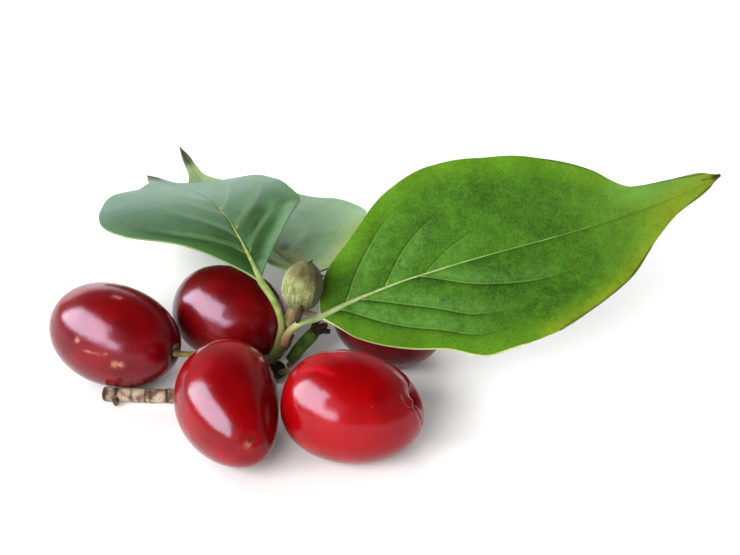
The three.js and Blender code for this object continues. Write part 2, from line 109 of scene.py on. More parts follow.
@dataclass(frozen=True)
class Fade:
    """Strength that rises smoothly from zero between two places."""

    start: float
    end: float
    strength: float = 1.0

    def at(self, places: np.ndarray) -> np.ndarray:
        """Strength at each place."""
        return self.strength * ramp(self.start, self.end, places)


def between(stations: Sequence[float], values: Sequence[float], at: np.ndarray) -> np.ndarray:
    """Values between given stations, on a curve that never overshoots them.

    Args:
        stations: Places at which the values are given, rising.
        values: The value at each station.
        at: Places to work out.

    Returns:
        One value for each place.
    """
    x = np.asarray(stations, float)
    y = np.asarray(values, float)
    slope = np.diff(y) / np.diff(x)
    before, after = slope[:-1], slope[1:]
    same_way = before * after > 0
    inner = np.where(same_way, 2 * before * after / np.where(same_way, before + after, 1), 0)
    tangent = np.concatenate(([slope[0]], inner, [slope[-1]]))
    i = np.clip(np.searchsorted(x, at, side="left") - 1, 0, len(x) - 2)
    span = x[i + 1] - x[i]
    u = (at - x[i]) / span
    start = (2 * u**3 - 3 * u**2 + 1) * y[i] + (u**3 - 2 * u**2 + u) * span * tangent[i]
    return start + (3 * u**2 - 2 * u**3) * y[i + 1] + (u**3 - u**2) * span * tangent[i + 1]


def smooth_path(points: Sequence[Point], count: int) -> np.ndarray:
    """Smooth curve through given points.

    Args:
        points: Points that the curve passes through.
        count: Number of points to return, spread over the stretches alike.

    Returns:
        The points of the curve, one a row.
    """
    given = np.array(points, float)
    padded = np.vstack((2 * given[0] - given[1], given, 2 * given[-1] - given[-2]))
    rows = []
    for place in np.linspace(0, len(given) - 1, count):
        i = min(int(place), len(given) - 2)
        u = place - i
        p0, p1, p2, p3 = padded[i : i + 4]
        d0, d1, d2 = (math.sqrt(np.linalg.norm(b - a)) for a, b in ((p0, p1), (p1, p2), (p2, p3)))
        out = ((p1 - p0) / d0 - (p2 - p0) / (d0 + d1) + (p2 - p1) / d1) * d1
        into = ((p2 - p1) / d1 - (p3 - p1) / (d1 + d2) + (p3 - p2) / d2) * d1
        turn = -3 * p1 + 3 * p2 - 2 * out - into
        rows.append(p1 + out * u + turn * u**2 + (2 * p1 - 2 * p2 + out + into) * u**3)
    return np.array(rows)


def arc_lengths(points: np.ndarray) -> np.ndarray:
    """Distance along a path at each of its points."""
    return np.concatenate(([0], np.cumsum(np.linalg.norm(np.diff(points, axis=0), axis=1))))


def nearest(points: np.ndarray, line: np.ndarray) -> tuple[np.ndarray, np.ndarray]:
    """How far points are from a broken line, and where along it they are nearest.

    Args:
        points: Points, one a row.
        line: Corners of the line, one a row.

    Returns:
        The distances, and the shares of the line's length at the nearest places.
    """
    best = np.full(len(points), np.inf)
    share = np.zeros(len(points))
    lengths = arc_lengths(line)
    for i, (a, b) in enumerate(zip(line[:-1], line[1:])):
        run = b - a
        u = np.clip((points - a) @ run / max(run @ run, TINY), 0, 1)
        away = np.linalg.norm(points - a - u[:, None] * run, axis=1)
        here = (lengths[i] + u * (lengths[i + 1] - lengths[i])) / max(lengths[-1], TINY)
        closer = away < best
        best = np.where(closer, away, best)
        share = np.where(closer, here, share)
    return best, share


def deselect() -> None:
    """Goes back to object mode with nothing selected."""
    if bpy.context.object is not None and bpy.context.object.mode != "OBJECT":
        bpy.ops.object.mode_set(mode="OBJECT")
    bpy.ops.object.select_all(action="DESELECT")


def pick(piece: Object) -> None:
    """Selects one object alone and makes it active.

    Args:
        piece: Object to select.
    """
    deselect()
    piece.select_set(True)
    bpy.context.view_layer.objects.active = piece


def edit_whole(*steps: Callable[[], object]) -> None:
    """Runs mesh operators in turn, each on the whole of the active object.

    Args:
        *steps: Calls of the operators.
    """
    bpy.ops.object.mode_set(mode="EDIT")
    for step in steps:
        bpy.ops.mesh.select_all(action="SELECT")
        step()
    bpy.ops.object.mode_set(mode="OBJECT")


TURN_OUTWARD = partial(bpy.ops.mesh.normals_make_consistent, inside=False)


def add_mesh(name: str, make: Callable[..., object], **sizes: object) -> Object:
    """Adds a ready-made mesh.

    Args:
        name: Name of the new object.
        make: Operator that adds the mesh.
        **sizes: Its settings.

    Returns:
        The new object.
    """
    deselect()
    make(**sizes)
    made = bpy.context.object
    made.name = made.data.name = name
    return made


def read_points(mesh: Mesh) -> np.ndarray:
    """Vertex places of a mesh.

    Args:
        mesh: Mesh to read.

    Returns:
        The places, one a row.
    """
    flat = np.empty(len(mesh.vertices) * 3, np.float32)
    mesh.vertices.foreach_get("co", flat)
    return flat.reshape(-1, 3).astype(float)


def write_points(mesh: Mesh, points: np.ndarray) -> None:
    """Moves the vertices of a mesh to places given in the sprig's own axes."""
    mesh.vertices.foreach_set("co", metres(points).astype(np.float32).ravel())
    mesh.update()


def write_attribute(mesh: Mesh, name: str, values: np.ndarray | float) -> None:
    """Keeps a number or a place for each vertex under a name that a material reads.

    Args:
        mesh: Mesh to write to.
        name: Name of the attribute.
        values: One number for all, or a number or place for each vertex.
    """
    rows = np.array(values, np.float32)
    if rows.ndim == 0:
        rows = np.full(len(mesh.vertices), rows)
    kind, field = ("FLOAT", "value") if rows.ndim == 1 else ("FLOAT_VECTOR", "vector")
    mesh.attributes.new(name, kind, "POINT").data.foreach_set(field, rows.ravel())


def write_uv(mesh: Mesh, places: np.ndarray) -> None:
    """Gives a mesh a UV map.

    Args:
        mesh: Mesh to write to.
        places: Flat place of each vertex in millimetres.
    """
    corners = np.empty(len(mesh.loops), np.int32)
    mesh.loops.foreach_get("vertex_index", corners)
    layer = mesh.uv_layers.active or mesh.uv_layers.new(name="UVMap")
    layer.data.foreach_set("uv", (0.5 + places[corners] / UV_SPAN).astype(np.float32).ravel())


@dataclass
class Patch:
    """Patch of colour: its kind, its line over the surface, its width and how strong it is."""

    kind: Enum
    line: Sequence[Pair]
    width: float
    strength: float = 1.0


def write_patches(
    mesh: Mesh,
    kinds: type[Enum],
    patches: Sequence[Patch],
    places: np.ndarray,
    to_places: Callable[[Sequence[Pair]], np.ndarray],
) -> None:
    """Keeps how strong each kind of patch is at each vertex, under the name of the kind.

    Args:
        mesh: Mesh to write to.
        kinds: Kinds that its material reads.
        patches: Patches on it.
        places: Place of each vertex.
        to_places: Turns the corners of a patch's line into such places.
    """
    for kind in kinds:
        strength = np.zeros(len(places))
        for patch in patches:
            if patch.kind is kind:
                away = nearest(places, to_places([*patch.line, patch.line[-1]]))[0]
                strength = np.maximum(strength, patch.strength * fall(away, patch.width))
        write_attribute(mesh, kind.value, strength)


def apply_modifier(piece: Object, kind: str, **settings: object) -> None:
    """Adds a modifier with its settings and applies it.

    Args:
        piece: Object to change.
        kind: Blender's name of the modifier type.
        **settings: Values of the modifier's own properties.
    """
    pick(piece)
    modifier = piece.modifiers.new(kind.lower(), kind)
    for name, value in settings.items():
        setattr(modifier, name, value)
    bpy.ops.object.modifier_apply(modifier=modifier.name)


def roughen(piece: Object, bumps: Bumps) -> None:
    """Pushes the surface in and out by a soft cloud pattern.

    Args:
        piece: Object to change.
        bumps: The pattern.
    """
    height, size, depth = bumps
    clouds = bpy.data.textures.new(f"{piece.name}_clouds", "CLOUDS")
    clouds.noise_scale = size * MM
    clouds.noise_depth = depth
    apply_modifier(
        piece, "DISPLACE", texture=clouds, texture_coords="LOCAL", strength=height * MM, mid_level=0.5
    )
    bpy.data.textures.remove(clouds)


def bridge_circles(name: str, points: np.ndarray, radii: np.ndarray, sides: int) -> Object:
    """Round body through circles that stand square on a path, joined one to the next.

    Args:
        name: Name of the new object.
        points: Middles of the circles.
        radii: One radius for each.
        sides: Number of vertices in each circle.

    Returns:
        The closed body, whose vertices are in the order of the circles.
    """
    directions = np.gradient(points, axis=0)
    deselect()
    for i, (middle, along, radius) in enumerate(zip(metres(points), directions, radii)):
        bpy.ops.mesh.primitive_circle_add(
            vertices=sides,
            radius=float(radius) * MM,
            location=middle,
            rotation=Vector(along).to_track_quat("Z", "Y").to_euler(),
        )
        if i == 0:
            body = bpy.context.object
            bpy.ops.object.transform_apply(location=True, rotation=True, scale=True)
            bpy.ops.object.mode_set(mode="EDIT")
    edit_whole(bpy.ops.mesh.bridge_edge_loops, partial(bpy.ops.mesh.fill_holes, sides=0), TURN_OUTWARD)
    body.name = body.data.name = name
    angles = np.tile(np.linspace(0, 2 * np.pi, sides, endpoint=False), len(points))
    along = np.repeat(arc_lengths(points), sides)
    write_attribute(body.data, "wrap", np.column_stack((np.cos(angles), np.sin(angles), along)))
    return body


def tube(name: str, path: Sequence[Point], radii: Sequence[float], steps: int, sides: int) -> Object:
    """Round body along a smooth path.

    Args:
        name: Name of the new object.
        path: Points that its middle passes through.
        radii: Radii at even distances along it.
        steps: Number of circles.
        sides: Number of vertices in each.

    Returns:
        The body.
    """
    shares = np.linspace(0, 1, steps)
    widths = between(np.linspace(0, 1, len(radii)), radii, shares)
    return bridge_circles(name, smooth_path(path, steps), widths, sides)


def smooth(piece: Object, degrees: float = 50) -> None:
    """Shades a piece smooth but for edges sharper than an angle."""
    pick(piece)
    bpy.ops.object.shade_smooth_by_angle(angle=math.radians(degrees))


def join(name: str, pieces: Sequence[Object]) -> Object:
    """Puts several objects into one mesh.

    Args:
        name: Name of the result.
        pieces: Objects to join, the first of which stays.

    Returns:
        The joined object.
    """
    pick(pieces[0])
    for piece in pieces:
        piece.select_set(True)
    bpy.ops.object.join()
    pieces[0].name = pieces[0].data.name = name
    return pieces[0]


def cut_flat(piece: Object) -> None:
    """Cuts away what is under the surface that the sprig lies on, and closes the cut.

    Args:
        piece: Object to cut.
    """
    pick(piece)
    plane = {"plane_co": (0, 0, 0), "plane_no": (0, 0, 1), "threshold": 1e-6}
    edit_whole(partial(bpy.ops.mesh.bisect, use_fill=True, clear_inner=True, **plane))


def settle(piece: Object, node: str) -> None:
    """Ties a finished piece to the frame and reports how well it fits its node.

    Args:
        piece: Finished object.
        node: CAD node that it stands for.
    """
    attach(piece, BODY)
    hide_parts(node)
    corners = read_points(piece.data)
    low, high = (np.array(corner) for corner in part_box(node))
    under = (corners.min(0) - low) / MM
    over = (corners.max(0) - high) / MM
    faces = sum(len(p.vertices) - 2 for p in piece.data.polygons)
    LOG.info("%s: %d triangles, corners %s and %s", piece.name, faces, under.round(2), over.round(2))


class Wire:
    """Output of a shader node that takes part in sums as a number does."""

    def __init__(self, paint: "Paint", socket: NodeSocket) -> None:
        """Keeps the socket and the node tree that it is in."""
        self.paint = paint
        self.socket = socket

    def _sum(self, operation: str, first: object, second: object = 0.0) -> "Wire":
        """One Math node on one or two values."""
        return self.paint.node("Math", {"operation": operation}, {0: first, 1: second})

    def __add__(self, other: object) -> "Wire":
        """Sum."""
        return self._sum("ADD", self, other)

    __radd__ = __add__

    def __rsub__(self, other: object) -> "Wire":
        """Difference from a number."""
        return self._sum("SUBTRACT", other, self)

    def __mul__(self, other: object) -> "Wire":
        """Product."""
        return self._sum("MULTIPLY", self, other)

    __rmul__ = __mul__

    def size(self) -> "Wire":
        """The same without its sign."""
        return self._sum("ABSOLUTE", self)

    def step(self, low: float, high: float) -> "Wire":
        """Smooth step from zero at low to one at high."""
        inputs = {"Value": self, "From Min": low, "From Max": high}
        return self.paint.node("MapRange", {"interpolation_type": "SMOOTHSTEP"}, inputs)

    def under(self, low: float, high: float) -> "Wire":
        """Smooth step from one at low to zero at high."""
        return 1 - self.step(low, high)


class Cells(Enum):
    """What a cell pattern gives."""

    DOTS = "F1"
    EDGES = "DISTANCE_TO_EDGE"


class Paint:
    """Node tree of a material or of the sky, built up by short calls."""

    def __init__(self, name: str, sky: bool = False) -> None:
        """Makes an empty material or sky.

        Args:
            name: Its name.
            sky: Whether it is a sky.
        """
        self.owner = (bpy.data.worlds if sky else bpy.data.materials).new(name)
        self.owner.use_nodes = True
        self.tree = self.owner.node_tree
        self.tree.nodes.clear()

    def node(self, kind: str, settings: Mapping[str, object], inputs: Mapping[object, object]) -> Wire:
        """Adds a node of any type.

        Args:
            kind: Blender's name of the node type, without ShaderNode in front.
            settings: Its own properties, set first; stops are those of a colour ramp.
            inputs: Numbers, colours or wires for its sockets, by name, index or identifier.

        Returns:
            Its first output that is in use, if it has one.
        """
        made = self.tree.nodes.new(f"ShaderNode{kind}")
        for name, value in settings.items():
            if name == "stops":
                elements = made.color_ramp.elements
                elements.remove(elements[0])
                for i, (place, colour) in enumerate(value):
                    element = elements[0] if i == 0 else elements.new(place)
                    element.position, element.color = place, colour
            else:
                setattr(made, name, value)
        for key, value in inputs.items():
            named = (s for s in made.inputs if s.identifier == key and s.enabled)
            socket = next(named, None) or made.inputs[key]
            if isinstance(value, Wire):
                self.tree.links.new(value.socket, socket)
            else:
                socket.default_value = value
        return Wire(self, next((s for s in made.outputs if s.enabled), None))

    def output(self, wire: Wire, name: str) -> Wire:
        """Another output of the node that a wire comes from."""
        return Wire(self, wire.socket.node.outputs[name])

    def attribute(self, name: str) -> Wire:
        """Number that the mesh keeps for each vertex."""
        colour = self.node("Attribute", {"attribute_name": name}, {})
        return self.output(colour, "Fac")

    def fibres(self, size: float, stretch: float) -> Wire:
        """Streaks along a stem, from 0 to 1: their width, and how many times longer they are."""
        wrap = self.output(self.node("Attribute", {"attribute_name": "wrap"}, {}), "Vector")
        return self.noise(self.scaled(wrap, (1.0, 1.0, 1 / stretch)), size, 3.0, 0.65)

    def object_place(self) -> Wire:
        """Place on the object in millimetres."""
        place = self.output(self.node("TexCoord", {}, {}), "Object")
        return self.scaled(place, (1 / MM,) * 3)

    def flat_place(self) -> Wire:
        """Place on the flattened surface.

        Returns:
            The place in millimetres, as write_uv was given it.
        """
        place = self.output(self.node("TexCoord", {}, {}), "UV")
        inputs = {0: place, 1: (UV_SPAN,) * 3, 2: (-UV_SPAN / 2, -UV_SPAN / 2, 0)}
        return self.node("VectorMath", {"operation": "MULTIPLY_ADD"}, inputs)

    def part(self, place: Wire, axis: str) -> Wire:
        """One of the three numbers of a place."""
        return self.output(self.node("SeparateXYZ", {}, {"Vector": place}), axis)

    def scaled(self, place: Wire, by: Point) -> Wire:
        """Place drawn out by a factor along each axis."""
        return self.node("VectorMath", {"operation": "MULTIPLY"}, {0: place, 1: by})

    def noise(
        self, place: Wire, size: float, detail: float = 2.0, rough: float = 0.5, bend: float = 0.0
    ) -> Wire:
        """Soft pattern from 0 to 1: size of its patches, finer layers, their strength, and bend."""
        inputs = {"Vector": place, "Scale": 1 / size, "Detail": detail, "Roughness": rough}
        return self.node("TexNoise", {}, {**inputs, "Distortion": bend})

    def cells(self, place: Wire, size: float, kind: Cells) -> Wire:
        """Distance in cell sizes from the middles or the edges of irregular cells."""
        return self.node("TexVoronoi", {"feature": kind.value}, {"Vector": place, "Scale": 1 / size})

    def mix(self, share: object, first: object, second: object) -> Wire:
        """Colour between two, by a share from 0 to 1."""
        inputs = {"Factor_Float": share, "A_Color": first, "B_Color": second}
        return self.node("Mix", {"data_type": "RGBA", "clamp_factor": True}, inputs)

    def layers(self, ground: object, *layers: tuple[object, object]) -> Wire:
        """Colour with others laid over it in turn, each by a share from 0 to 1."""
        return reduce(lambda below, layer: self.mix(layer[0], below, layer[1]), layers, ground)

    def bump(self, height: Wire, distance: float, strength: float) -> Wire:
        """Normal of a surface with relief, whose height of 1 stands for a distance in millimetres."""
        inputs = {"Strength": strength, "Distance": distance * MM, "Height": height}
        return self.node("Bump", {}, inputs)

    def close(self, shader: str, output: str, inputs: Mapping[str, object]) -> None:
        """Ends the tree with a shader and the output node that takes it."""
        self.node(output, {}, {"Surface": self.node(shader, {}, inputs)})

    def finish(self, **inputs: object) -> Material:
        """Ends a material with a surface shader.

        Args:
            **inputs: Its sockets, with underscores for the spaces in their names.

        Returns:
            The finished material.
        """
        sockets = {name.replace("_", " "): value for name, value in inputs.items()}
        self.close("BsdfPrincipled", "OutputMaterial", sockets)
        return self.owner


@dataclass(frozen=True)
class LeafFace:
    """Upper face: green, fine streaky mottling, sunken veins with painted sheen and shade beside them."""

    name: str
    deep: Colour = shade(42, 76, 18)
    fresh: Colour = shade(60, 102, 24)
    bright: Colour = shade(94, 140, 22)
    # Colour of the painted sheen, which the fine pale streaks of the blade also take
    bloom: Colour = shade(92, 138, 66)
    far: Colour = shade(106, 143, 42)
    far_from: Pair = (0.56, 0.95)
    far_share: float = 0.85
    margin_width: float = 5.0
    olive: Colour = shade(122, 132, 28)
    shaded: Colour = shade(24, 50, 6)
    dry: Colour = shade(52, 44, 34)
    cream: Colour = shade(190, 196, 132)
    vein: Colour = shade(116, 158, 76)
    rib: Colour = shade(112, 150, 70)
    lines: float = 1.0
    blur: float = 1.0
    gloss: float = 0.09
    roughness: float = 0.42
    relief: Pair = (0.06, 0.6)

    def ground(self, p: Paint, place: Wire) -> Wire:
        """Colour of the blade between its veins.

        Args:
            p: Node tree.
            place: Place on the flattened blade.

        Returns:
            The colour.
        """
        patches = p.noise(place, 6.0, 4.0, 0.65, 0.4)
        mottling = p.noise(place, 1.4, 5.0, 0.72, 0.2)
        streaks = p.noise(p.scaled(place, (1.0, 0.6, 1.0)), 0.28, 3.0, 0.7, 0.3)
        margin, share = p.attribute("margin"), p.attribute("share")
        return p.layers(
            self.deep,
            (patches.step(0.3, 0.7), self.fresh),
            (margin.under(0.4, self.margin_width) * 0.5, self.bright),
            (share.step(*self.far_from) * self.far_share, self.far),
            # Painted sheen beside the veins and in the pale patches
            (p.attribute("bloom") * mottling.step(0.15, 0.65), self.bloom),
            (p.attribute("pale") * mottling.step(0.1, 0.6), self.bloom),
            (p.attribute("olive") * mottling.step(0.2, 0.6), self.olive),
            (p.attribute("shaded"), self.shaded),
            (mottling.step(0.45, 0.7) * 0.24 * self.lines, self.bright),
            (mottling.under(0.3, 0.52) * 0.17 * self.lines, self.shaded),
            (streaks.step(0.5, 0.7) * 0.3 * self.lines, self.bloom),
            (streaks.under(0.34, 0.5) * 0.18 * self.lines, self.shaded),
        )

    def material(self) -> Material:
        """Makes the material.

        Returns:
            The finished material.
        """
        p = Paint(self.name)
        place = p.flat_place()
        vein, fade, rib, share, margin = (p.attribute(n) for n in ("vein", "fade", "rib", "share", "margin"))
        net = p.cells(place, 0.7, Cells.EDGES)
        grain = p.noise(place, 0.4, 3.0, 0.7)
        soft = self.blur
        # Dark band on the outer side of each vein: painted shade
        beside = vein.step(0.03 * soft, 0.12 * soft) * vein.under(0.16 * soft, 0.45 * soft)
        light_side = (vein + 0.12 * soft).size().under(0.05 * soft, 0.2 * soft)
        ending = share.under(0.4, 0.95)
        # Dark band along the midrib on the blade's right half: painted shade
        under_rib = rib.step(0.0, 0.1) * rib.under(0.12, 0.42) * p.part(place, "Y").under(-0.02, 0.02)
        colour = p.layers(
            self.ground(p, place),
            (net.under(0.02, 0.12) * 0.06 * self.lines, self.vein),
            (fade * beside * 0.6 * self.lines, self.shaded),
            (fade * light_side * 0.35, self.vein),
            (under_rib * ending * 0.12, self.shaded),
            (rib.under(-0.06 * soft, 0.05 * soft) * ending, self.rib),
            (p.attribute("cream") * margin.under(0.06, 0.16), self.cream),
            (p.attribute("dry"), self.dry),
        )
        furrows = fade * vein.size().step(0.0, 0.3) * 0.6 * self.lines
        return p.finish(
            Base_Color=colour,
            Roughness=grain * 0.2 + (self.roughness - 0.1),
            Specular_IOR_Level=self.gloss,
            Normal=p.bump(net.step(0.0, 0.2) * 0.3 + grain * 0.9 + furrows, *self.relief),
        )


@dataclass(frozen=True)
class LeafRim:
    """Cut edge of a blade: pale, or dark where the margin has dried."""

    name: str
    ground: Colour = shade(186, 192, 130)
    dry: Colour = shade(44, 38, 24)
    roughness: float = 0.6

    def material(self) -> Material:
        """Makes the material.

        Returns:
            The finished material.
        """
        p = Paint(self.name)
        specks = p.noise(p.object_place(), 0.8).step(0.35, 0.7) * 0.15
        colour = p.layers(self.ground, (specks, self.dry), (p.attribute("dry"), self.dry))
        return p.finish(Base_Color=colour, Roughness=self.roughness)


@dataclass(frozen=True)
class LeafBack:
    """Under face of a blade: paler and matt, with the net standing out."""

    name: str
    ground: Colour = shade(52, 74, 36)
    light: Colour = shade(72, 94, 54)
    vein: Colour = shade(98, 118, 74)
    gloss: float = 0.3
    roughness: float = 0.68
    relief: Pair = (0.09, 0.8)

    def material(self) -> Material:
        """Makes the material.

        Returns:
            The finished material.
        """
        p = Paint(self.name)
        place = p.flat_place()
        net = p.cells(place, 0.9, Cells.EDGES)
        vein, fade, rib = p.attribute("vein").size(), p.attribute("fade"), p.attribute("rib")
        colour = p.layers(
            self.ground,
            (p.noise(place, 5.0, 4.0).step(0.35, 0.7), self.light),
            (net.under(0.02, 0.14) * 0.2, self.vein),
            (fade * vein.under(0.1, 0.3), self.vein),
            (rib.under(0.0, 0.2), self.vein),
        )
        relief = net.under(0.0, 0.2) * 0.5 + fade * vein.under(0.1, 0.5) * 2
        return p.finish(
            Base_Color=colour,
            Roughness=self.roughness,
            Specular_IOR_Level=self.gloss,
            Normal=p.bump(relief, *self.relief),
        )


@dataclass(frozen=True)
class StemFinish:
    """Smooth green to tan stem with fine lengthwise fibres and small spots."""

    name: str
    ground: Colour
    light: Colour
    spot: Colour
    spots: float = 0.3
    roughness: float = 0.5
    gloss: float = 0.3
    relief: Pair = (0.06, 0.6)

    def material(self) -> Material:
        """Makes the material.

        Returns:
            The finished material.
        """
        p = Paint(self.name)
        place = p.object_place()
        patches = p.noise(place, 1.4, 3.0, 0.65)
        grain = p.noise(place, 0.22, 3.0, 0.6)
        fibres = p.fibres(0.22, 7.0)
        colour = p.layers(
            self.ground,
            (patches.step(0.35, 0.68), self.light),
            (fibres.step(0.5, 0.72) * 0.35, self.light),
            (fibres.under(0.32, 0.5) * 0.35, self.spot),
            (grain.step(0.55, 0.75) * self.spots, self.spot),
            # Blush, and painted shade where the shoot and the old stalk meet at their feet
            (p.attribute("blush"), self.spot),
        )
        return p.finish(
            Base_Color=colour,
            Roughness=grain * 0.2 + (self.roughness - 0.1),
            Specular_IOR_Level=self.gloss,
            Normal=p.bump(fibres + grain * 0.5, *self.relief),
        )


@dataclass(frozen=True)
class CherrySkin:
    """Glossy skin of a ripe fruit: nearly even red, with marks, painted light and a dull hollow."""

    name: str
    deep: Colour
    ripe: Colour
    lit: Colour
    scar: Colour = shade(196, 132, 100)
    spot: Colour = shade(34, 6, 6)
    roughness: float = 0.18
    gloss: float = 0.3
    gloss_tint: Colour = shade(240, 232, 255)
    relief: Pair = (0.1, 0.6)

    def material(self) -> Material:
        """Makes the material.

        Returns:
            The finished material.
        """
        p = Paint(self.name)
        place = p.object_place()
        clouds = p.noise(place, 5.0, 3.0, 0.55, 0.3)
        freckles = p.noise(place, 0.5, 3.0, 0.6)
        dots = p.cells(place, 1.25, Cells.DOTS)
        ripples = p.noise(place, 2.2, 4.0, 0.55)
        lenticels = dots.under(0.03, 0.09) * freckles.step(0.5, 0.62)
        scar, spot = p.attribute("scar"), p.attribute("spot")
        colour = p.layers(
            self.deep,
            (clouds.step(0.3, 0.7), self.ripe),
            # Painted light in the lit colour: light thrown up from the floor and painted reflections
            (p.attribute("light"), self.lit),
            (freckles.step(0.4, 0.8) * 0.2, self.deep),
            (lenticels * 0.25, self.scar),
            (scar * freckles.step(0.34, 0.52), self.scar),
            (spot, self.spot),
        )
        return p.finish(
            Base_Color=colour,
            Roughness=freckles * 0.12 + (scar + spot) * 0.3 + (self.roughness - 0.06),
            Specular_IOR_Level=self.gloss,
            Specular_Tint=self.gloss_tint,
            Normal=p.bump(ripples + freckles * 0.1, *self.relief),
        )


@dataclass(frozen=True)
class BarkFinish:
    """Weathered young wood: cream and tan skin between dark rings, and painted shade at the knuckle."""

    name: str
    cream: Colour = shade(172, 152, 132)
    tan: Colour = shade(92, 68, 54)
    ring: Colour = shade(30, 22, 16)
    grey: Colour = shade(88, 76, 74)
    roughness: float = 0.6
    relief: Pair = (0.12, 0.8)

    def material(self) -> Material:
        """Makes the material.

        Returns:
            The finished material.
        """
        p = Paint(self.name)
        place = p.object_place()
        patches = p.noise(place, 1.8, 4.0, 0.65, 0.5)
        grain = p.noise(p.scaled(place, (0.5, 1.6, 1.6)), 0.3, 4.0, 0.7)
        colour = p.layers(
            self.cream,
            (patches.step(0.4, 0.62), self.tan),
            (grain.step(0.5, 0.8) * 0.6, self.grey),
            (p.attribute("ring"), self.ring),
        )
        relief = p.bump(grain + patches, *self.relief)
        return p.finish(Base_Color=colour, Roughness=grain * 0.25 + self.roughness, Normal=relief)


@dataclass(frozen=True)
class BudFinish:
    """Downy bud scale: olive to cream with lengthwise fibres, browner at edges and top."""

    name: str
    ground: Colour = shade(98, 102, 58)
    light: Colour = shade(156, 164, 110)
    brown: Colour = shade(62, 46, 24)
    shaded: Colour = shade(44, 50, 18)
    roughness: float = 0.62
    gloss: float = 0.25
    down: float = 0.1
    relief: Pair = (0.1, 0.8)

    def material(self) -> Material:
        """Makes the material.

        Returns:
            The finished material.
        """
        p = Paint(self.name)
        fibres, fine = p.fibres(0.3, 9.0), p.fibres(0.2, 12.0)
        patches = p.noise(p.object_place(), 1.5, 3.0, 0.6)
        far = p.attribute("far")
        colour = p.layers(
            self.ground,
            (patches.step(0.35, 0.68), self.light),
            # Painted shade on the bud's body away from the light; on its small points the real dark brown
            (far, self.shaded),
            (fibres.step(0.5, 0.66) * (1 - far) * 0.5, self.light),
            (fine.under(0.36, 0.52) * 0.6, self.shaded),
            (p.attribute("brown") * (fibres.step(0.2, 0.7) * 0.5 + 0.5), self.brown),
        )
        return p.finish(
            Base_Color=colour,
            Roughness=self.roughness,
            Specular_IOR_Level=self.gloss,
            Sheen_Weight=self.down,
            Sheen_Roughness=0.5,
            Normal=p.bump(fibres + fine, *self.relief),
        )


@dataclass
class Vein:
    """Side vein: where it leaves the midrib, its stretch along it, its reach and how soon it turns."""

    start: float
    stretch: float
    reach: float
    turning: float
    strength: float = 1.0


class TintKind(Enum):
    """Attribute that a patch of colour on a blade is kept in."""

    # Painted sheen, in the colour of the sheen beside the veins
    PALE = "pale"
    OLIVE = "olive"
    SHADED = "shaded"
    DRY = "dry"
    CREAM = "cream"


# Places along the line of a vein, in its stretches, closest together where it starts
VEIN_RUN = np.linspace(0, 1.15, 24) ** 1.4
# Share of a blade's half at which its veins stop short of the margin
VEIN_END = 0.94
# Distance in millimetres that stands for far away
FAR = 9.0
# Stations at which the half width, the radius and the depth of a midrib are given
RIB_WIDTH_STATIONS = (0, 0.15, 0.36, 0.6, 1)
RIB_STATIONS = (0, 0.15, 0.4, 0.85)
# Shares of the midrib at which its circles stand
RIB_PLACES = np.concatenate(([0, 0.03], np.linspace(0.06, RIB_STATIONS[-1], 60)))
# Steps of the petiole's path, sides of its circles, and how far up from its foot it blushes
PETIOLE_STEPS = 30
PETIOLE_SIDES = 14
BLUSH_REACH = 4.0


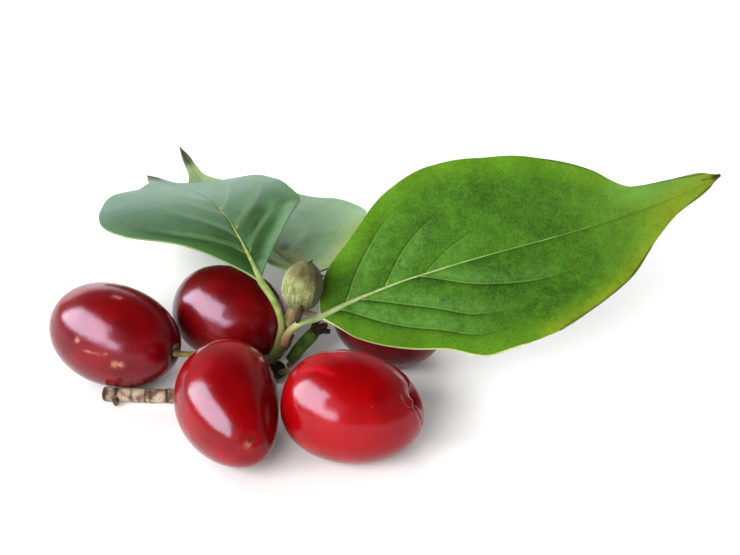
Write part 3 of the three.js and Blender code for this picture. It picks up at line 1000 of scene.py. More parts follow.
@dataclass
class Leaf:
    """One leaf: blade with sunken side veins and a fine rim, petiole running on as the midrib."""

    side: str
    slot: str
    midrib: Sequence[Point]
    roll: Point
    lift: Pair
    curl: Pair
    half_width: Pair
    outline: tuple[Sequence[float], Sequence[float]]
    petiole: Sequence[Point]
    wave: Point
    veins: tuple[Sequence[Vein], Sequence[Vein]]
    face: LeafFace
    back: LeafBack
    rim: LeafRim
    stem: StemFinish
    tints: Sequence[Patch] = ()
    faces: tuple[int, int] = (320, 136)
    thickness: float = 0.3
    valley_depth: float = 0.34
    trough_depth: float = 0.22
    clouds: Bumps = (0.22, 5.0, 2)
    inner_wall: Pair = (1.3, 2.0)
    outer_wall: Pair = (1.0, 0.55)
    # Shares of a vein's length between which it fades
    vein_fade: Pair = (0.5, 1.0)
    # Distance from a vein of the strip of painted sheen inside it, and the width of that strip
    swelling: Pair = (0.6, 1.7)
    # Half width and length of the wedge at the foot of a vein, and how far it draws back
    wedge: Point = (0.3, 3.0, 0.12)
    # How strong the painted sheen beside the veins is
    bloom: float = 0.5
    # How much thicker the petiole is at its foot, and how far up
    foot: Pair = (0.24, 2.4)
    rib_radii: Sequence[float] = (0.52, 0.2, 0.08, 0.05)
    rib_sinks: Sequence[float] = (0.06, 0.17, 0.14, 0.14)
    rib_widths: Sequence[float] = (0.34, 0.19, 0.13, 0.1, 0.06)
    # How far the left base drops, the middle of that stretch as a share, and its length
    base_drop: float = 0.0
    drop_at: Pair = (0.05, 0.07)
    # How many times wider than the midrib its trough is, and where it ends, as shares
    trough_spread: float = 4.0
    trough_end: Fade = Fade(1.0, 0.75)
    # Width of the margin over which the valleys rise, and how far past the midrib a vein is felt
    margin_rise: float = 2.5
    crossing: float = 0.2
    blush: float = 1.0
    mirrored: bool = True

    def frame_at(self, t: np.ndarray) -> tuple[np.ndarray, np.ndarray, np.ndarray]:
        """Frame of the leaf at shares of its midrib.

        Args:
            t: Shares from the base to the tip.

        Returns:
            Points of the midrib, directions to its left, and directions out of the upper face.
        """
        p0, p1, p2, p3 = np.array(self.midrib)
        t = t[:, None]
        r = 1 - t
        point = r**3 * p0 + 3 * r**2 * t * p1 + 3 * r * t**2 * p2 + t**3 * p3
        along = unit(r**2 * (p1 - p0) + 2 * r * t * (p2 - p1) + t**2 * (p3 - p2))
        level = unit(np.cross((0, 0, 1), along))
        rise = np.cross(along, level)
        roll = self.roll[0] + self.roll[1] * t + self.roll[2] * t**2
        side = level * np.cos(roll) + rise * np.sin(roll)
        return point, side, np.cross(along, side)

    def width_at(self, t: np.ndarray, half: np.ndarray) -> np.ndarray:
        """Width of the left (0) or right (1) half of the blade at shares of its midrib."""
        shares = [between(WIDTH_STATIONS, outline, t) for outline in self.outline]
        return np.hypot(np.take(self.half_width, half) * np.where(half == 0, *shares), MARGIN_END_WIDTH)

    def surface(self, t: np.ndarray, s: np.ndarray, relief: np.ndarray | float = 0.0) -> np.ndarray:
        """Points of the blade's middle face.

        Args:
            t: Shares from the base to the tip.
            s: Shares from the right margin, -1, to the left margin, 1.
            relief: Height above the plain face.

        Returns:
            The points, one a row.
        """
        half = (s < 0).astype(int)
        point, side, out = self.frame_at(t)
        reach = np.abs(s) * self.width_at(t, half)
        bow = np.take(self.curl, half) * reach / 2
        angle = np.take(self.lift, half) + bow
        chord = reach * np.sinc(bow / np.pi)
        height, count, phase = self.wave
        rise = chord * np.sin(angle) + height * s**2 * np.sin(2 * np.pi * count * t + phase + half) + relief
        return point + side * (np.sign(s) * chord * np.cos(angle))[:, None] + out * rise[:, None]

    def flat(self, t: np.ndarray, s: np.ndarray) -> np.ndarray:
        """Places on the flattened blade.

        Args:
            t: Shares from the base to the tip.
            s: Shares from the right margin, -1, to the left margin, 1.

        Returns:
            Distance along the midrib from the middle of the UV map, and distance out, one place a row.
        """
        marks = np.linspace(0, 1, 101)
        lengths = arc_lengths(self.frame_at(marks)[0])
        across = s * self.width_at(t, (s < 0).astype(int))
        return np.column_stack((np.interp(t, marks, lengths) - UV_SPAN / 2, across))

    def vein_field(self, flat: np.ndarray) -> tuple[np.ndarray, ...]:
        """What the side veins do at places of the flattened blade.

        Args:
            flat: Places, one a row.

        Returns:
            Depth of the valleys, painted sheen beside the veins, signed distance from the nearest vein
            (outwards of it above zero), how strong that vein is there, and distance from the wedge
            in which it joins the midrib.
        """
        sheen_at, sheen_width = self.swelling
        wedge_width, wedge_length, back = self.wedge
        valley, bloom, fade = (np.zeros(len(flat)) for _ in range(3))
        beside, wedge = (np.full(len(flat), FAR) for _ in range(2))
        for half, (sign, veins) in enumerate(zip((1, -1), self.veins)):
            own_half = np.sign(flat[:, 1]) == sign
            for vein in veins:
                stretch = vein.stretch * VEIN_RUN
                reach = np.minimum(vein.reach * (1 - np.exp(-stretch / vein.turning)), VEIN_END)
                line = self.flat(vein.start + stretch, sign * reach)
                away, along = nearest(flat, line)
                reached = np.interp(flat[:, 0], line[:, 0], np.abs(line[:, 1]))
                outer = ~own_half | (np.abs(flat[:, 1]) > reached) | (flat[:, 0] < line[0, 0])
                strength = vein.strength * (1 - ramp(*self.vein_fade, along))
                strength *= np.where(own_half, 1, fall(flat[:, 1], self.crossing))
                wall = np.where(outer, self.outer_wall[half], self.inner_wall[half])
                valley = np.maximum(valley, strength * fall(away, wall))
                inside = strength * ramp(0.0, sheen_at, away) * fall(away - sheen_at, sheen_width)
                bloom = np.maximum(bloom, np.where(outer, 0, inside))
                closer = away < np.abs(beside)
                beside = np.where(closer, np.where(outer, away, -away), beside)
                fade = np.where(closer, strength, fade)
                from_foot = ramp(0.0, wedge_length, along * arc_lengths(line)[-1])
                taper = wedge_width * (1 - from_foot) - back
                wedge = np.minimum(wedge, away - taper * vein.strength)
        return valley, bloom, beside, fade, wedge

    def build_blade(self) -> Object:
        """Makes the blade from a grid, with its veins sunk in and its thickness.

        Returns:
            The blade.
        """
        faces = dict(zip(("x_subdivisions", "y_subdivisions"), self.faces))
        blade = add_mesh(f"{self.side}_blade", bpy.ops.mesh.primitive_grid_add, size=2, **faces)
        start = read_points(blade.data)
        t, s = (start[:, 0] + 1) / 2, start[:, 1]
        flat = self.flat(t, s)
        margin = self.width_at(t, (s < 0).astype(int)) * (1 - np.abs(s))
        from_rib = np.abs(flat[:, 1])
        valley, bloom, beside, fade, wedge = self.vein_field(flat)
        rib_width = between(RIB_WIDTH_STATIONS, self.rib_widths, t)
        trough = fall(from_rib, self.trough_spread * rib_width) * self.trough_end.at(t)
        middle, length = self.drop_at
        drop = self.base_drop * s**2 * fall(t - middle, length) * (s > 0)
        sunk = self.valley_depth * ramp(0.0, self.margin_rise, margin) * valley
        relief = -sunk - self.trough_depth * trough - drop
        write_points(blade.data, self.surface(t, s, relief))
        write_uv(blade.data, flat)
        # The painted sheen beside the veins is kept in an attribute of its own
        for name, values in (
            ("vein", beside), ("fade", fade), ("bloom", self.bloom * bloom), ("margin", margin),
            ("share", t), ("rib", np.minimum(from_rib - rib_width, wedge)),
        ):
            write_attribute(blade.data, name, values)
        write_patches(
            blade.data, TintKind, self.tints, flat, lambda line: self.flat(*np.array(line, float).T)
        )
        for finish in (self.face, self.back, self.rim, self.stem):
            blade.data.materials.append(finish.material())
        roughen(blade, self.clouds)
        slots = {"material_offset": 1, "material_offset_rim": 2}
        apply_modifier(blade, "SOLIDIFY", thickness=self.thickness * MM, offset=0, **slots)
        smooth(blade, 60)
        return blade

    def build_stem(self) -> Object:
        """Makes the petiole, which runs on as the midrib and thins out towards the tip.

        Returns:
            The stem.
        """
        point, _, out = self.frame_at(RIB_PLACES)
        rib = point - out * between(RIB_STATIONS, self.rib_sinks, RIB_PLACES)[:, None]
        lead = smooth_path([*self.petiole, tuple(rib[0]), tuple(rib[1])], PETIOLE_STEPS + 1)
        lead = lead[: PETIOLE_STEPS * len(self.petiole) // (len(self.petiole) + 1)]
        path = np.vstack((lead, rib))
        from_node = arc_lengths(lead)
        thicker, reach = self.foot
        lead_radii = self.rib_radii[0] + thicker * fall(from_node, reach)
        radii = np.concatenate((lead_radii, between(RIB_STATIONS, self.rib_radii, RIB_PLACES)))
        stem = bridge_circles(f"{self.side}_petiole", path, radii, PETIOLE_SIDES)
        blush = np.concatenate((self.blush * fall(from_node, BLUSH_REACH), np.zeros(len(RIB_PLACES))))
        write_attribute(stem.data, "blush", np.repeat(blush, PETIOLE_SIDES))
        stem.data.materials.append(self.stem.material())
        smooth(stem)
        return stem

    def build(self) -> None:
        """Makes the whole leaf and ties it to the frame."""
        leaf = join(f"{self.side}_leaf", [self.build_blade(), self.build_stem()])
        leaf.visible_glossy = self.mirrored
        settle(leaf, f"leaf_{self.side}")


class MarkKind(Enum):
    """Attribute that a mark on the skin is kept in."""

    SCAR = "scar"
    SPOT = "spot"
    # Painted light
    LIGHT = "light"


# Shares of a groove's length at which its arch is cut off, so that the ends keep some depth
GROOVE_RUN = (0.02, 0.98)
# How many of a groove's widths away its lips are
LIP_PLACE = 2


@dataclass
class Groove:
    """Crease in a fruit: its line as angles on the skin, its depth, width and raised lips."""

    line: Sequence[Pair]
    depth: float
    width: float
    lip: float = 0.0


@dataclass
class Cherry:
    """One fruit: long drupe with a stalk hollow, a style scar, dimples, creases and marks."""

    side: str
    slot: str
    at: Pair
    turn: float
    tilt: float
    length: float
    width: float
    fullness: float
    egg: float
    bend: float
    sway: float
    dimples: Sequence[Quad]
    skin: CherrySkin
    creases: Sequence[Quad] = ()
    grooves: Sequence[Groove] = ()
    marks: Sequence[Patch] = ()
    segments: int = 144
    rings: int = 112

    def skin_points(self, from_end: np.ndarray, round_it: np.ndarray) -> np.ndarray:
        """Points of the plain skin before the fruit is turned.

        Args:
            from_end: Angles from the +axis end, in radians.
            round_it: Angles round the axis, in radians.

        Returns:
            The points, one a row.
        """
        bulge = np.abs(np.sin(from_end)) ** self.fullness * (1 + self.egg * np.cos(from_end))
        radius = self.width / 2 * bulge
        shift = self.bend * np.cos(from_end) ** 2 + self.sway * np.sin(2 * from_end)
        return np.column_stack((
            self.length / 2 * np.cos(from_end),
            radius * np.cos(round_it) + shift,
            radius * np.sin(round_it),
        ))

    def skin_line(self, angles: Sequence[Pair]) -> np.ndarray:
        """Points of the plain skin at pairs of angles in degrees."""
        pairs = np.radians(np.array(angles, float))
        return self.skin_points(pairs[:, 0], pairs[:, 1])

    def dented(self, plain: np.ndarray) -> np.ndarray:
        """The skin pushed in by dimples, creases and grooves.

        Args:
            plain: Points of the plain skin.

        Returns:
            The moved points.
        """
        inward = -unit(plain)
        moved = plain.copy()
        for from_end, round_it, depth, radius in self.dimples:
            centre = self.skin_line([(from_end, round_it)])[0]
            away = np.linalg.norm(plain - centre, axis=1)
            moved -= unit(centre) * (depth * fall(away, radius))[:, None]
        hollow = self.dimples[0][:2]
        for from_end, round_it, depth, width in self.creases:
            line = self.skin_line([hollow, (from_end, round_it)])
            away, along = nearest(plain, line)
            moved += inward * (depth * (1 - along) * fall(away, width))[:, None]
        for groove in self.grooves:
            away, along = nearest(plain, self.skin_line(groove.line))
            ends = np.sqrt(np.sin(np.pi * np.clip(along, *GROOVE_RUN)))
            lips = fall(away - LIP_PLACE * groove.width, groove.width)
            cut = groove.depth * fall(away, groove.width) - groove.lip * lips
            moved += inward * (cut * ends)[:, None]
        return moved

    def placed(self, points: np.ndarray) -> np.ndarray:
        """Turns and tilts the fruit and sets it on the surface.

        Args:
            points: Points of its skin.

        Returns:
            The same points in the sprig's own axes.
        """
        tilt = Matrix.Rotation(-math.radians(self.tilt), 3, "Y")
        turn = Matrix.Rotation(math.radians(self.turn), 3, "Z")
        turned = points @ np.array(turn @ tilt).T
        return turned + np.array((*self.at, -turned[:, 2].min() - REST_SINK))

    def build(self) -> None:
        """Makes the fruit from a ball and ties it to the frame."""
        grid = {"segments": self.segments, "ring_count": self.rings}
        fruit = add_mesh(f"{self.side}_cherry", bpy.ops.mesh.primitive_uv_sphere_add, radius=1, **grid)
        ball = read_points(fruit.data)
        from_end = np.arccos(np.clip(ball[:, 2], -1, 1))
        plain = self.skin_points(from_end, np.arctan2(ball[:, 1], ball[:, 0]))
        write_points(fruit.data, self.placed(self.dented(plain)))
        write_patches(fruit.data, MarkKind, self.marks, plain, self.skin_line)
        pick(fruit)
        edit_whole(TURN_OUTWARD)
        cut_flat(fruit)
        fruit.data.materials.append(self.skin.material())
        smooth(fruit)
        settle(fruit, f"fruit_{self.side}")


@dataclass
class Stem:
    """Round stem along a smooth path, its radius given at shares of its length."""

    name: str
    node: str
    slot: str
    path: Sequence[Point]
    radii: Sequence[Pair]
    finish: StemFinish
    steps: int = 48
    sides: int = 20
    bumps: Bumps = (0.08, 0.9, 2)
    # Share of the given radius at both ends
    end_share: float = 0.7
    # Middle, reach and strength of each patch of blush and of painted shade
    blush: Sequence[tuple[Point, float, float]] = ()
    prongs: Sequence[Sequence[Point]] = ()
    prong_radii: Pair = (0.6, 0.34)
    prong_bumps: Bumps = (0.3, 0.5, 3)

    def build_prong(self, path: Sequence[Point]) -> Object:
        """Makes one of the dry prongs at the end of the stem.

        Args:
            path: Points that its middle passes through.

        Returns:
            The prong.
        """
        prong = tube(f"{self.name}_prong", path, self.prong_radii, steps=18, sides=14)
        write_attribute(prong.data, "blush", 1)
        prong.data.materials.append(self.finish.material())
        roughen(prong, self.prong_bumps)
        return prong

    def build_tube(self) -> Object:
        """Makes the stem with rounded ends, and keeps where it blushes.

        Returns:
            The stem, not yet tied to the frame.
        """
        points = smooth_path(self.path, self.steps)
        shares = arc_lengths(points) / arc_lengths(points)[-1]
        stations, values = zip(*self.radii)
        radii = between(stations, values, shares)
        radii[[0, -1]] *= self.end_share
        stem = bridge_circles(self.name, points, radii, self.sides)
        own = read_points(stem.data) / MM - FOOTPRINT_SHIFT
        blush = np.zeros(len(own))
        for middle, reach, strength in self.blush:
            blush = np.maximum(blush, strength * fall(np.linalg.norm(own - np.array(middle), axis=1), reach))
        write_attribute(stem.data, "blush", blush)
        stem.data.materials.append(self.finish.material())
        roughen(stem, self.bumps)
        return stem

    def build(self) -> None:
        """Makes the stem and ties it to the frame."""
        stem = join(self.name, [self.build_tube(), *(self.build_prong(path) for path in self.prongs)])
        smooth(stem)
        settle(stem, self.node)


@dataclass
class Twig:
    """Last year's wood: ringed rod with a broken end, a stub and a swollen knuckle."""

    name: str = "twig"
    node: str = "woody_twig"
    slot: str = "bark"
    path: Sequence[Point] = (
        (-39.5, -34.3, 1.2), (-34, -34.5, 1.08), (-29, -34.6, 1.1), (-22, -32.8, 1.3), KNUCKLE,
    )
    radius: float = 1.02
    # How much thicker the wood gets towards the knuckle, and its painted shade there, under the fruits
    swelling: Fade = Fade(18.0, 27.0, 0.4)
    dark: Fade = Fade(19.0, 24.0)
    # Height of the lip beside a ring, and how many of the ring's widths away it is
    lip: Pair = (0.13, 1.3)
    # Shares of the radius in the first circles
    broken_end: Point = (0.3, 0.8, 0.94)
    # Place of each ring along the wood, its width and its strength
    rings: Sequence[Point] = (
        (0.4, 0.45, 0.85), (2.1, 0.38, 1.0), (4.4, 0.18, 0.85), (6.5, 0.18, 0.9), (7.2, 0.14, 0.8),
        (9.6, 0.3, 1.0), (12.0, 0.2, 0.6), (13.5, 0.2, 0.8), (18.0, 0.22, 0.8),
    )
    steps: int = 190
    sides: int = 32
    finish: BarkFinish = BarkFinish("bark")
    stub_path: Sequence[Point] = ((-37.6, -34.6, 1.2), (-37.4, -35.8, 1.0), (-37.2, -36.5, 0.9))
    stub_radii: Pair = (0.62, 0.4)
    stub_dark: float = 0.6
    knuckle_radius: float = 1.38
    rod_bumps: Bumps = (0.16, 0.8, 3)
    knuckle_bumps: Bumps = (0.2, 0.9, 2)

    def build(self) -> None:
        """Makes the twig and ties it to the frame."""
        points = smooth_path(self.path, self.steps)
        along = arc_lengths(points)
        radii = self.radius + self.swelling.at(along)
        ring = np.zeros(self.steps)
        for place, width, strength in self.rings:
            radii += self.lip[0] * strength * fall(along - place - self.lip[1] * width, width)
            ring = np.maximum(ring, strength * fall(along - place, width))
        radii[:3] *= self.broken_end
        # Painted shade: the wood darkens towards the knuckle, in under the fruits
        ring = np.maximum(ring, self.dark.at(along))
        rod = bridge_circles(f"{self.name}_rod", points, radii, self.sides)
        write_attribute(rod.data, "ring", np.repeat(ring, self.sides))
        roughen(rod, self.rod_bumps)
        stub = tube(f"{self.name}_stub", self.stub_path, self.stub_radii, steps=12, sides=16)
        write_attribute(stub.data, "ring", self.stub_dark)
        ball = {"segments": 32, "ring_count": 20, "radius": self.knuckle_radius * MM}
        ball["location"] = metres(KNUCKLE)
        knuckle = add_mesh(f"{self.name}_knuckle", bpy.ops.mesh.primitive_uv_sphere_add, **ball)
        bpy.ops.object.transform_apply(location=True, rotation=True, scale=True)
        # Painted shade: the knuckle is dark all over, in under the fruits
        write_attribute(knuckle.data, "ring", 1)
        roughen(knuckle, self.knuckle_bumps)
        twig = join(self.name, [rod, stub, knuckle])
        cut_flat(twig)
        twig.data.materials.append(self.finish.material())
        smooth(twig)
        settle(twig, self.node)


# Share of a ball's height within which a place counts as its pole
POLE = 0.001


@dataclass(frozen=True)
class Shaft:
    """Stalk or small point on the bud: its path, its radii at even distances, how dark it is."""

    path: Sequence[Point]
    radii: Sequence[float]
    dark: float = 0.0


@dataclass
class Bud:
    """Round winter bud: two downy scales, the larger lapping over the other, on a thick stalk."""

    name: str = "bud"
    node: str = "flower_bud"
    slot: str = "bud"
    base: Point = (-10.35, -31.2, 14.0)
    tip: Point = (-8.95, -30.6, 21.8)
    radius: float = 3.05
    heights: Sequence[float] = (0, 0.07, 0.17, 0.3, 0.44, 0.58, 0.7, 0.81, 0.9, 0.96, 1.0)
    profile: Sequence[float] = (0.3, 0.55, 0.8, 0.96, 1.02, 1.0, 0.91, 0.75, 0.53, 0.3, 0.02)
    seam: Sequence[float] = (286, 294, 301, 303, 302, 304, 308, 313, 320, 330, 340)
    edge_step: float = 0.09
    # Angle round the bud that the darker scale takes up, in degrees
    lapped: float = 170.0
    # How much of the step is lost over that scale, and how dark the painted shade on that scale is
    lap_loss: float = 0.7
    lapped_dark: float = 0.85
    # Browner places, and painted shade, over shares of the height or over degrees round the larger scale
    brown_top: Fade = Fade(0.55, 0.92, 0.9)
    brown_edge: Fade = Fade(346, 360, 0.4)
    dark_foot: Fade = Fade(0.45, 0.1, 0.55)
    dark_edge: Fade = Fade(250, 360, 0.3)
    # How brown a stalk or a small point is where it is darkest
    shaft_brown: float = 0.4
    body_bumps: Bumps = (0.1, 0.7, 2)
    shaft_bumps: Bumps = (0.1, 0.6, 2)
    finish: BudFinish = BudFinish("bud_down")
    stalk: StemFinish = StemFinish("bud_stalk", shade(100, 84, 58), shade(128, 112, 80), shade(60, 42, 26))
    points: Sequence[Shaft] = (
        Shaft(((-8.6, -31.0, 19.0), (-7.4, -31.2, 19.6), (-6.6, -31.2, 19.75)), (1.1, 0.7, 0.35, 0.1), 0.9),
        Shaft(((-9.1, -30.65, 21.0), (-8.7, -30.8, 21.7), (-8.2, -30.9, 22.3)), (0.5, 0.3, 0.2, 0.08), 1.0),
    )
    stalks: Sequence[Shaft] = (
        Shaft(((-11.75, -31.25, 11.2), (-11.3, -31.2, 13.0), (-10.75, -31.2, 14.6)), (0.5, 0.66, 0.86, 1.0)),
        Shaft(((-10.9, -31.4, 13.6), (-9.3, -31.2, 13.5), (-7.9, -30.9, 13.1)), (0.6, 0.42, 0.34, 0.22)),
    )

    def build_body(self) -> Object:
        """Makes the scales from a ball.

        Returns:
            The bud without its stalk.
        """
        grid = {"segments": 160, "ring_count": 80}
        body = add_mesh(f"{self.name}_body", bpy.ops.mesh.primitive_uv_sphere_add, radius=1, **grid)
        ball = read_points(body.data)
        base, tip = np.array(self.base), np.array(self.tip)
        height = np.linalg.norm(tip - base)
        axis = (tip - base) / height
        side = unit(np.array((1.0, 0, 0)) - axis * axis[0])
        front = np.cross(axis, side)
        up = (ball[:, 2] + 1) / 2
        angle = np.arctan2(ball[:, 1], ball[:, 0])
        past_seam = np.radians(np.degrees(angle) - between(self.heights, self.seam, up)) % (2 * np.pi)
        lapped = np.radians(self.lapped)
        under = (past_seam < lapped).astype(float)
        lap = 1 - self.edge_step * under * (1 - self.lap_loss * past_seam / lapped)
        radius = self.radius * between(self.heights, self.profile, up) * lap
        radius *= np.where((up > POLE) & (up < 1 - POLE), 1, 0)
        spoke = side * np.cos(angle)[:, None] + front * np.sin(angle)[:, None]
        write_points(body.data, base + axis * (up * height)[:, None] + spoke * radius[:, None])
        degrees = np.degrees(past_seam)
        brown = (1 - under) * self.brown_edge.at(degrees) + self.brown_top.at(up)
        write_attribute(body.data, "brown", np.clip(brown, 0, 1))
        # Painted shade: the lapped scale, the edge over the larger scale and the foot are darker
        dark = (1 - under) * (self.dark_edge.at(degrees) + self.dark_foot.at(up))
        write_attribute(body.data, "far", under * self.lapped_dark + dark)
        wrap = np.column_stack((np.cos(angle) * self.radius, np.sin(angle) * self.radius, up * height))
        write_attribute(body.data, "wrap", wrap)
        roughen(body, self.body_bumps)
        return body

    def build_shaft(self, shaft: Shaft) -> Object:
        """Makes the stalk or one of the small points on the bud.

        Args:
            shaft: Its form.

        Returns:
            The shaft.
        """
        made = tube(f"{self.name}_shaft", shaft.path, shaft.radii, steps=24, sides=18)
        for name, value in (("far", shaft.dark), ("brown", self.shaft_brown * shaft.dark), ("blush", 0.0)):
            write_attribute(made.data, name, value)
        roughen(made, self.shaft_bumps)
        return made

    def build(self) -> None:
        """Makes the bud with its stalk, spur and points, and ties it to the frame."""
        parts = [self.build_body(), *map(self.build_shaft, (*self.points, *self.stalks))]
        down, bark = self.finish.material(), self.stalk.material()
        for i, part in enumerate(parts):
            part.data.materials.append(down if i <= len(self.points) else bark)
        bud = join(self.name, parts)
        smooth(bud)
        settle(bud, self.node)


class Shows(Enum):
    """Which light of a lamp the surfaces take."""

    GLOSS = "glossy"
    COLOUR = "diffuse"


@dataclass(frozen=True)
class Lamp:
    """Rectangular lamp: where it hangs as seen from the lit point, in degrees, its size and its light."""

    name: str
    shows: Shows
    azimuth: float
    elevation: float
    distance: float
    size: Pair
    radiance: float
    colour: Point = (1.0, 1.0, 1.0)
    shift: Pair = (0.0, 0.0)
    only_on: Sequence[str] = ()

    def hang(self, lit_point: Point) -> None:
        """Adds the lamp to the scene, facing the lit point.

        Args:
            lit_point: Point that the angles, distance and shift are measured from.
        """
        round_it, above = math.radians(self.azimuth), math.radians(self.elevation)
        level = math.cos(above)
        away = np.array((math.cos(round_it) * level, math.sin(round_it) * level, math.sin(above)))
        across = np.array((-math.sin(round_it), math.cos(round_it), 0.0))
        up = np.cross(away, across)
        middle = np.array(lit_point) + away * self.distance + across * self.shift[0] + up * self.shift[1]
        light = bpy.data.lights.new(self.name, "AREA")
        light.shape = "RECTANGLE"
        light.size, light.size_y = (v * MM for v in self.size)
        light.energy = self.radiance * math.pi * light.size * light.size_y
        light.color = self.colour
        lamp = bpy.data.objects.new(self.name, light)
        bpy.context.scene.collection.objects.link(lamp)
        turn = Matrix((across, up, away)).transposed()
        lamp.matrix_world = Matrix.Translation(metres(middle)) @ turn.to_4x4()
        lamp.visible_camera = False
        lamp.visible_glossy = self.shows is Shows.GLOSS
        lamp.visible_diffuse = self.shows is Shows.COLOUR
        if self.only_on:
            lit = bpy.data.collections.new(f"lit_by_{self.name}")
            for name in self.only_on:
                lit.objects.link(bpy.data.objects[name])
            lamp.light_linking.receiver_collection = lit


LAMPS = (
    Lamp("window", Shows.GLOSS, 210, 0, 600, (1110, 730), 22.0, (0.92, 0.92, 1.0), (-200, 515),
         only_on=("left_cherry", "back_cherry", "front_cherry", "right_cherry", "hidden_cherry")),
    Lamp("window_end", Shows.GLOSS, 210, 0, 600, (350, 260), 19.0, (0.92, 0.92, 1.0), (530, 215),
         only_on=("left_cherry", "back_cherry", "right_cherry")),
    Lamp("back_glow", Shows.GLOSS, 100, 0, 600, (800, 260), 2.8, (0.95, 0.93, 1.0), (0, 150),
         only_on=("left_cherry",)),
    Lamp("floor_light", Shows.COLOUR, 250, 60, 900, (900, 900), 1.1, only_on=("floor",)),
    Lamp("soft_front", Shows.COLOUR, 235, 26, 600, (640, 480), 9.8),
    Lamp("soft_back", Shows.COLOUR, 115, 30, 600, (700, 460), 7.0),
    Lamp("soft_right", Shows.COLOUR, 20, 14, 600, (900, 260), 2.9),
)


@dataclass
class Studio:
    """Pale surface, window-like soft light, bright surround low down, and the camera."""

    target: Point = (0.0, 0.0, 0.0)
    elevation: float = 32.0
    distance: float = 333.0
    lens: float = 100.0
    sensor: float = 36.0
    lit_point: Point = (-20.0, -38.0, 7.0)
    lamps: Sequence[Lamp] = LAMPS
    sky: Sequence[Pair] = ((0.0, 1.0), (0.5, 0.95), (0.66, 0.12), (1.0, 0.05))
    sky_strength: float = 0.35
    floor_size: float = 1.6
    floor_colour: Colour = shade(230, 230, 230)

    def surround(self) -> None:
        """Makes the sky bright from the horizon up to a third of the way and dark overhead."""
        sky = Paint("surround", sky=True)
        height = sky.part(sky.output(sky.node("TexCoord", {}, {}), "Generated"), "Z")
        stops = [(place, (level, level, level, 1)) for place, level in self.sky]
        fade = sky.node("ValToRGB", {"stops": stops}, {"Fac": height})
        inputs = {"Color": fade, "Strength": self.sky_strength}
        sky.close("Background", "OutputWorld", inputs)
        sky.owner.cycles_visibility.diffuse = False
        bpy.context.scene.world = sky.owner

    def lay_floor(self) -> None:
        """Lays the pale surface, which isn't part of the object."""
        floor = add_mesh("floor", bpy.ops.mesh.primitive_plane_add, size=self.floor_size)
        paint = Paint("pale_surface")
        finish = paint.finish(Base_Color=self.floor_colour, Roughness=0.9, Specular_IOR_Level=0.0)
        floor.data.materials.append(finish)

    def set_camera(self) -> None:
        """Sets the camera in front of the sprig, looking down on it."""
        tilt = math.radians(self.elevation)
        ahead = np.array((0.0, math.cos(tilt), -math.sin(tilt)))
        camera = bpy.data.cameras.new("camera")
        camera.lens, camera.sensor_width = self.lens, self.sensor
        camera.clip_start, camera.clip_end = 0.01, 20
        body = bpy.data.objects.new("camera", camera)
        bpy.context.scene.collection.objects.link(body)
        body.location = metres(np.array(self.target) - ahead * self.distance)
        body.rotation_euler = (math.pi / 2 - tilt, 0, 0)
        bpy.context.scene.camera = body

    def build(self) -> None:
        """Sets up the whole studio."""
        bpy.context.scene.view_settings.view_transform = "Standard"
        self.surround()
        self.lay_floor()
        for lamp in self.lamps:
            lamp.hang(self.lit_point)
        self.set_camera()


CREAM_RIM = LeafRim("leaf_rim")
SOFT_RIM = LeafRim("shaded_leaf_rim", shade(108, 134, 82), shade(60, 56, 50))
PETIOLE = StemFinish("petiole", shade(138, 162, 94), shade(164, 186, 130), shade(140, 88, 66), 0.1)
SHADED_PETIOLE = StemFinish(
    "shaded_petiole", shade(102, 124, 56), shade(132, 150, 86), shade(112, 94, 56), 0.15
)
PALE, OLIVE, SHADED, DRY, CREAM = TintKind
# What the two leaves further back have in common
FURTHER_BACK = {
    "slot": "leaf_shaded", "rim": SOFT_RIM, "stem": SHADED_PETIOLE, "faces": (220, 110), "bloom": 0.3,
    "rib_radii": (0.54, 0.2, 0.09, 0.06), "rib_widths": (0.3, 0.12, 0.06, 0.02, 0.0),
}

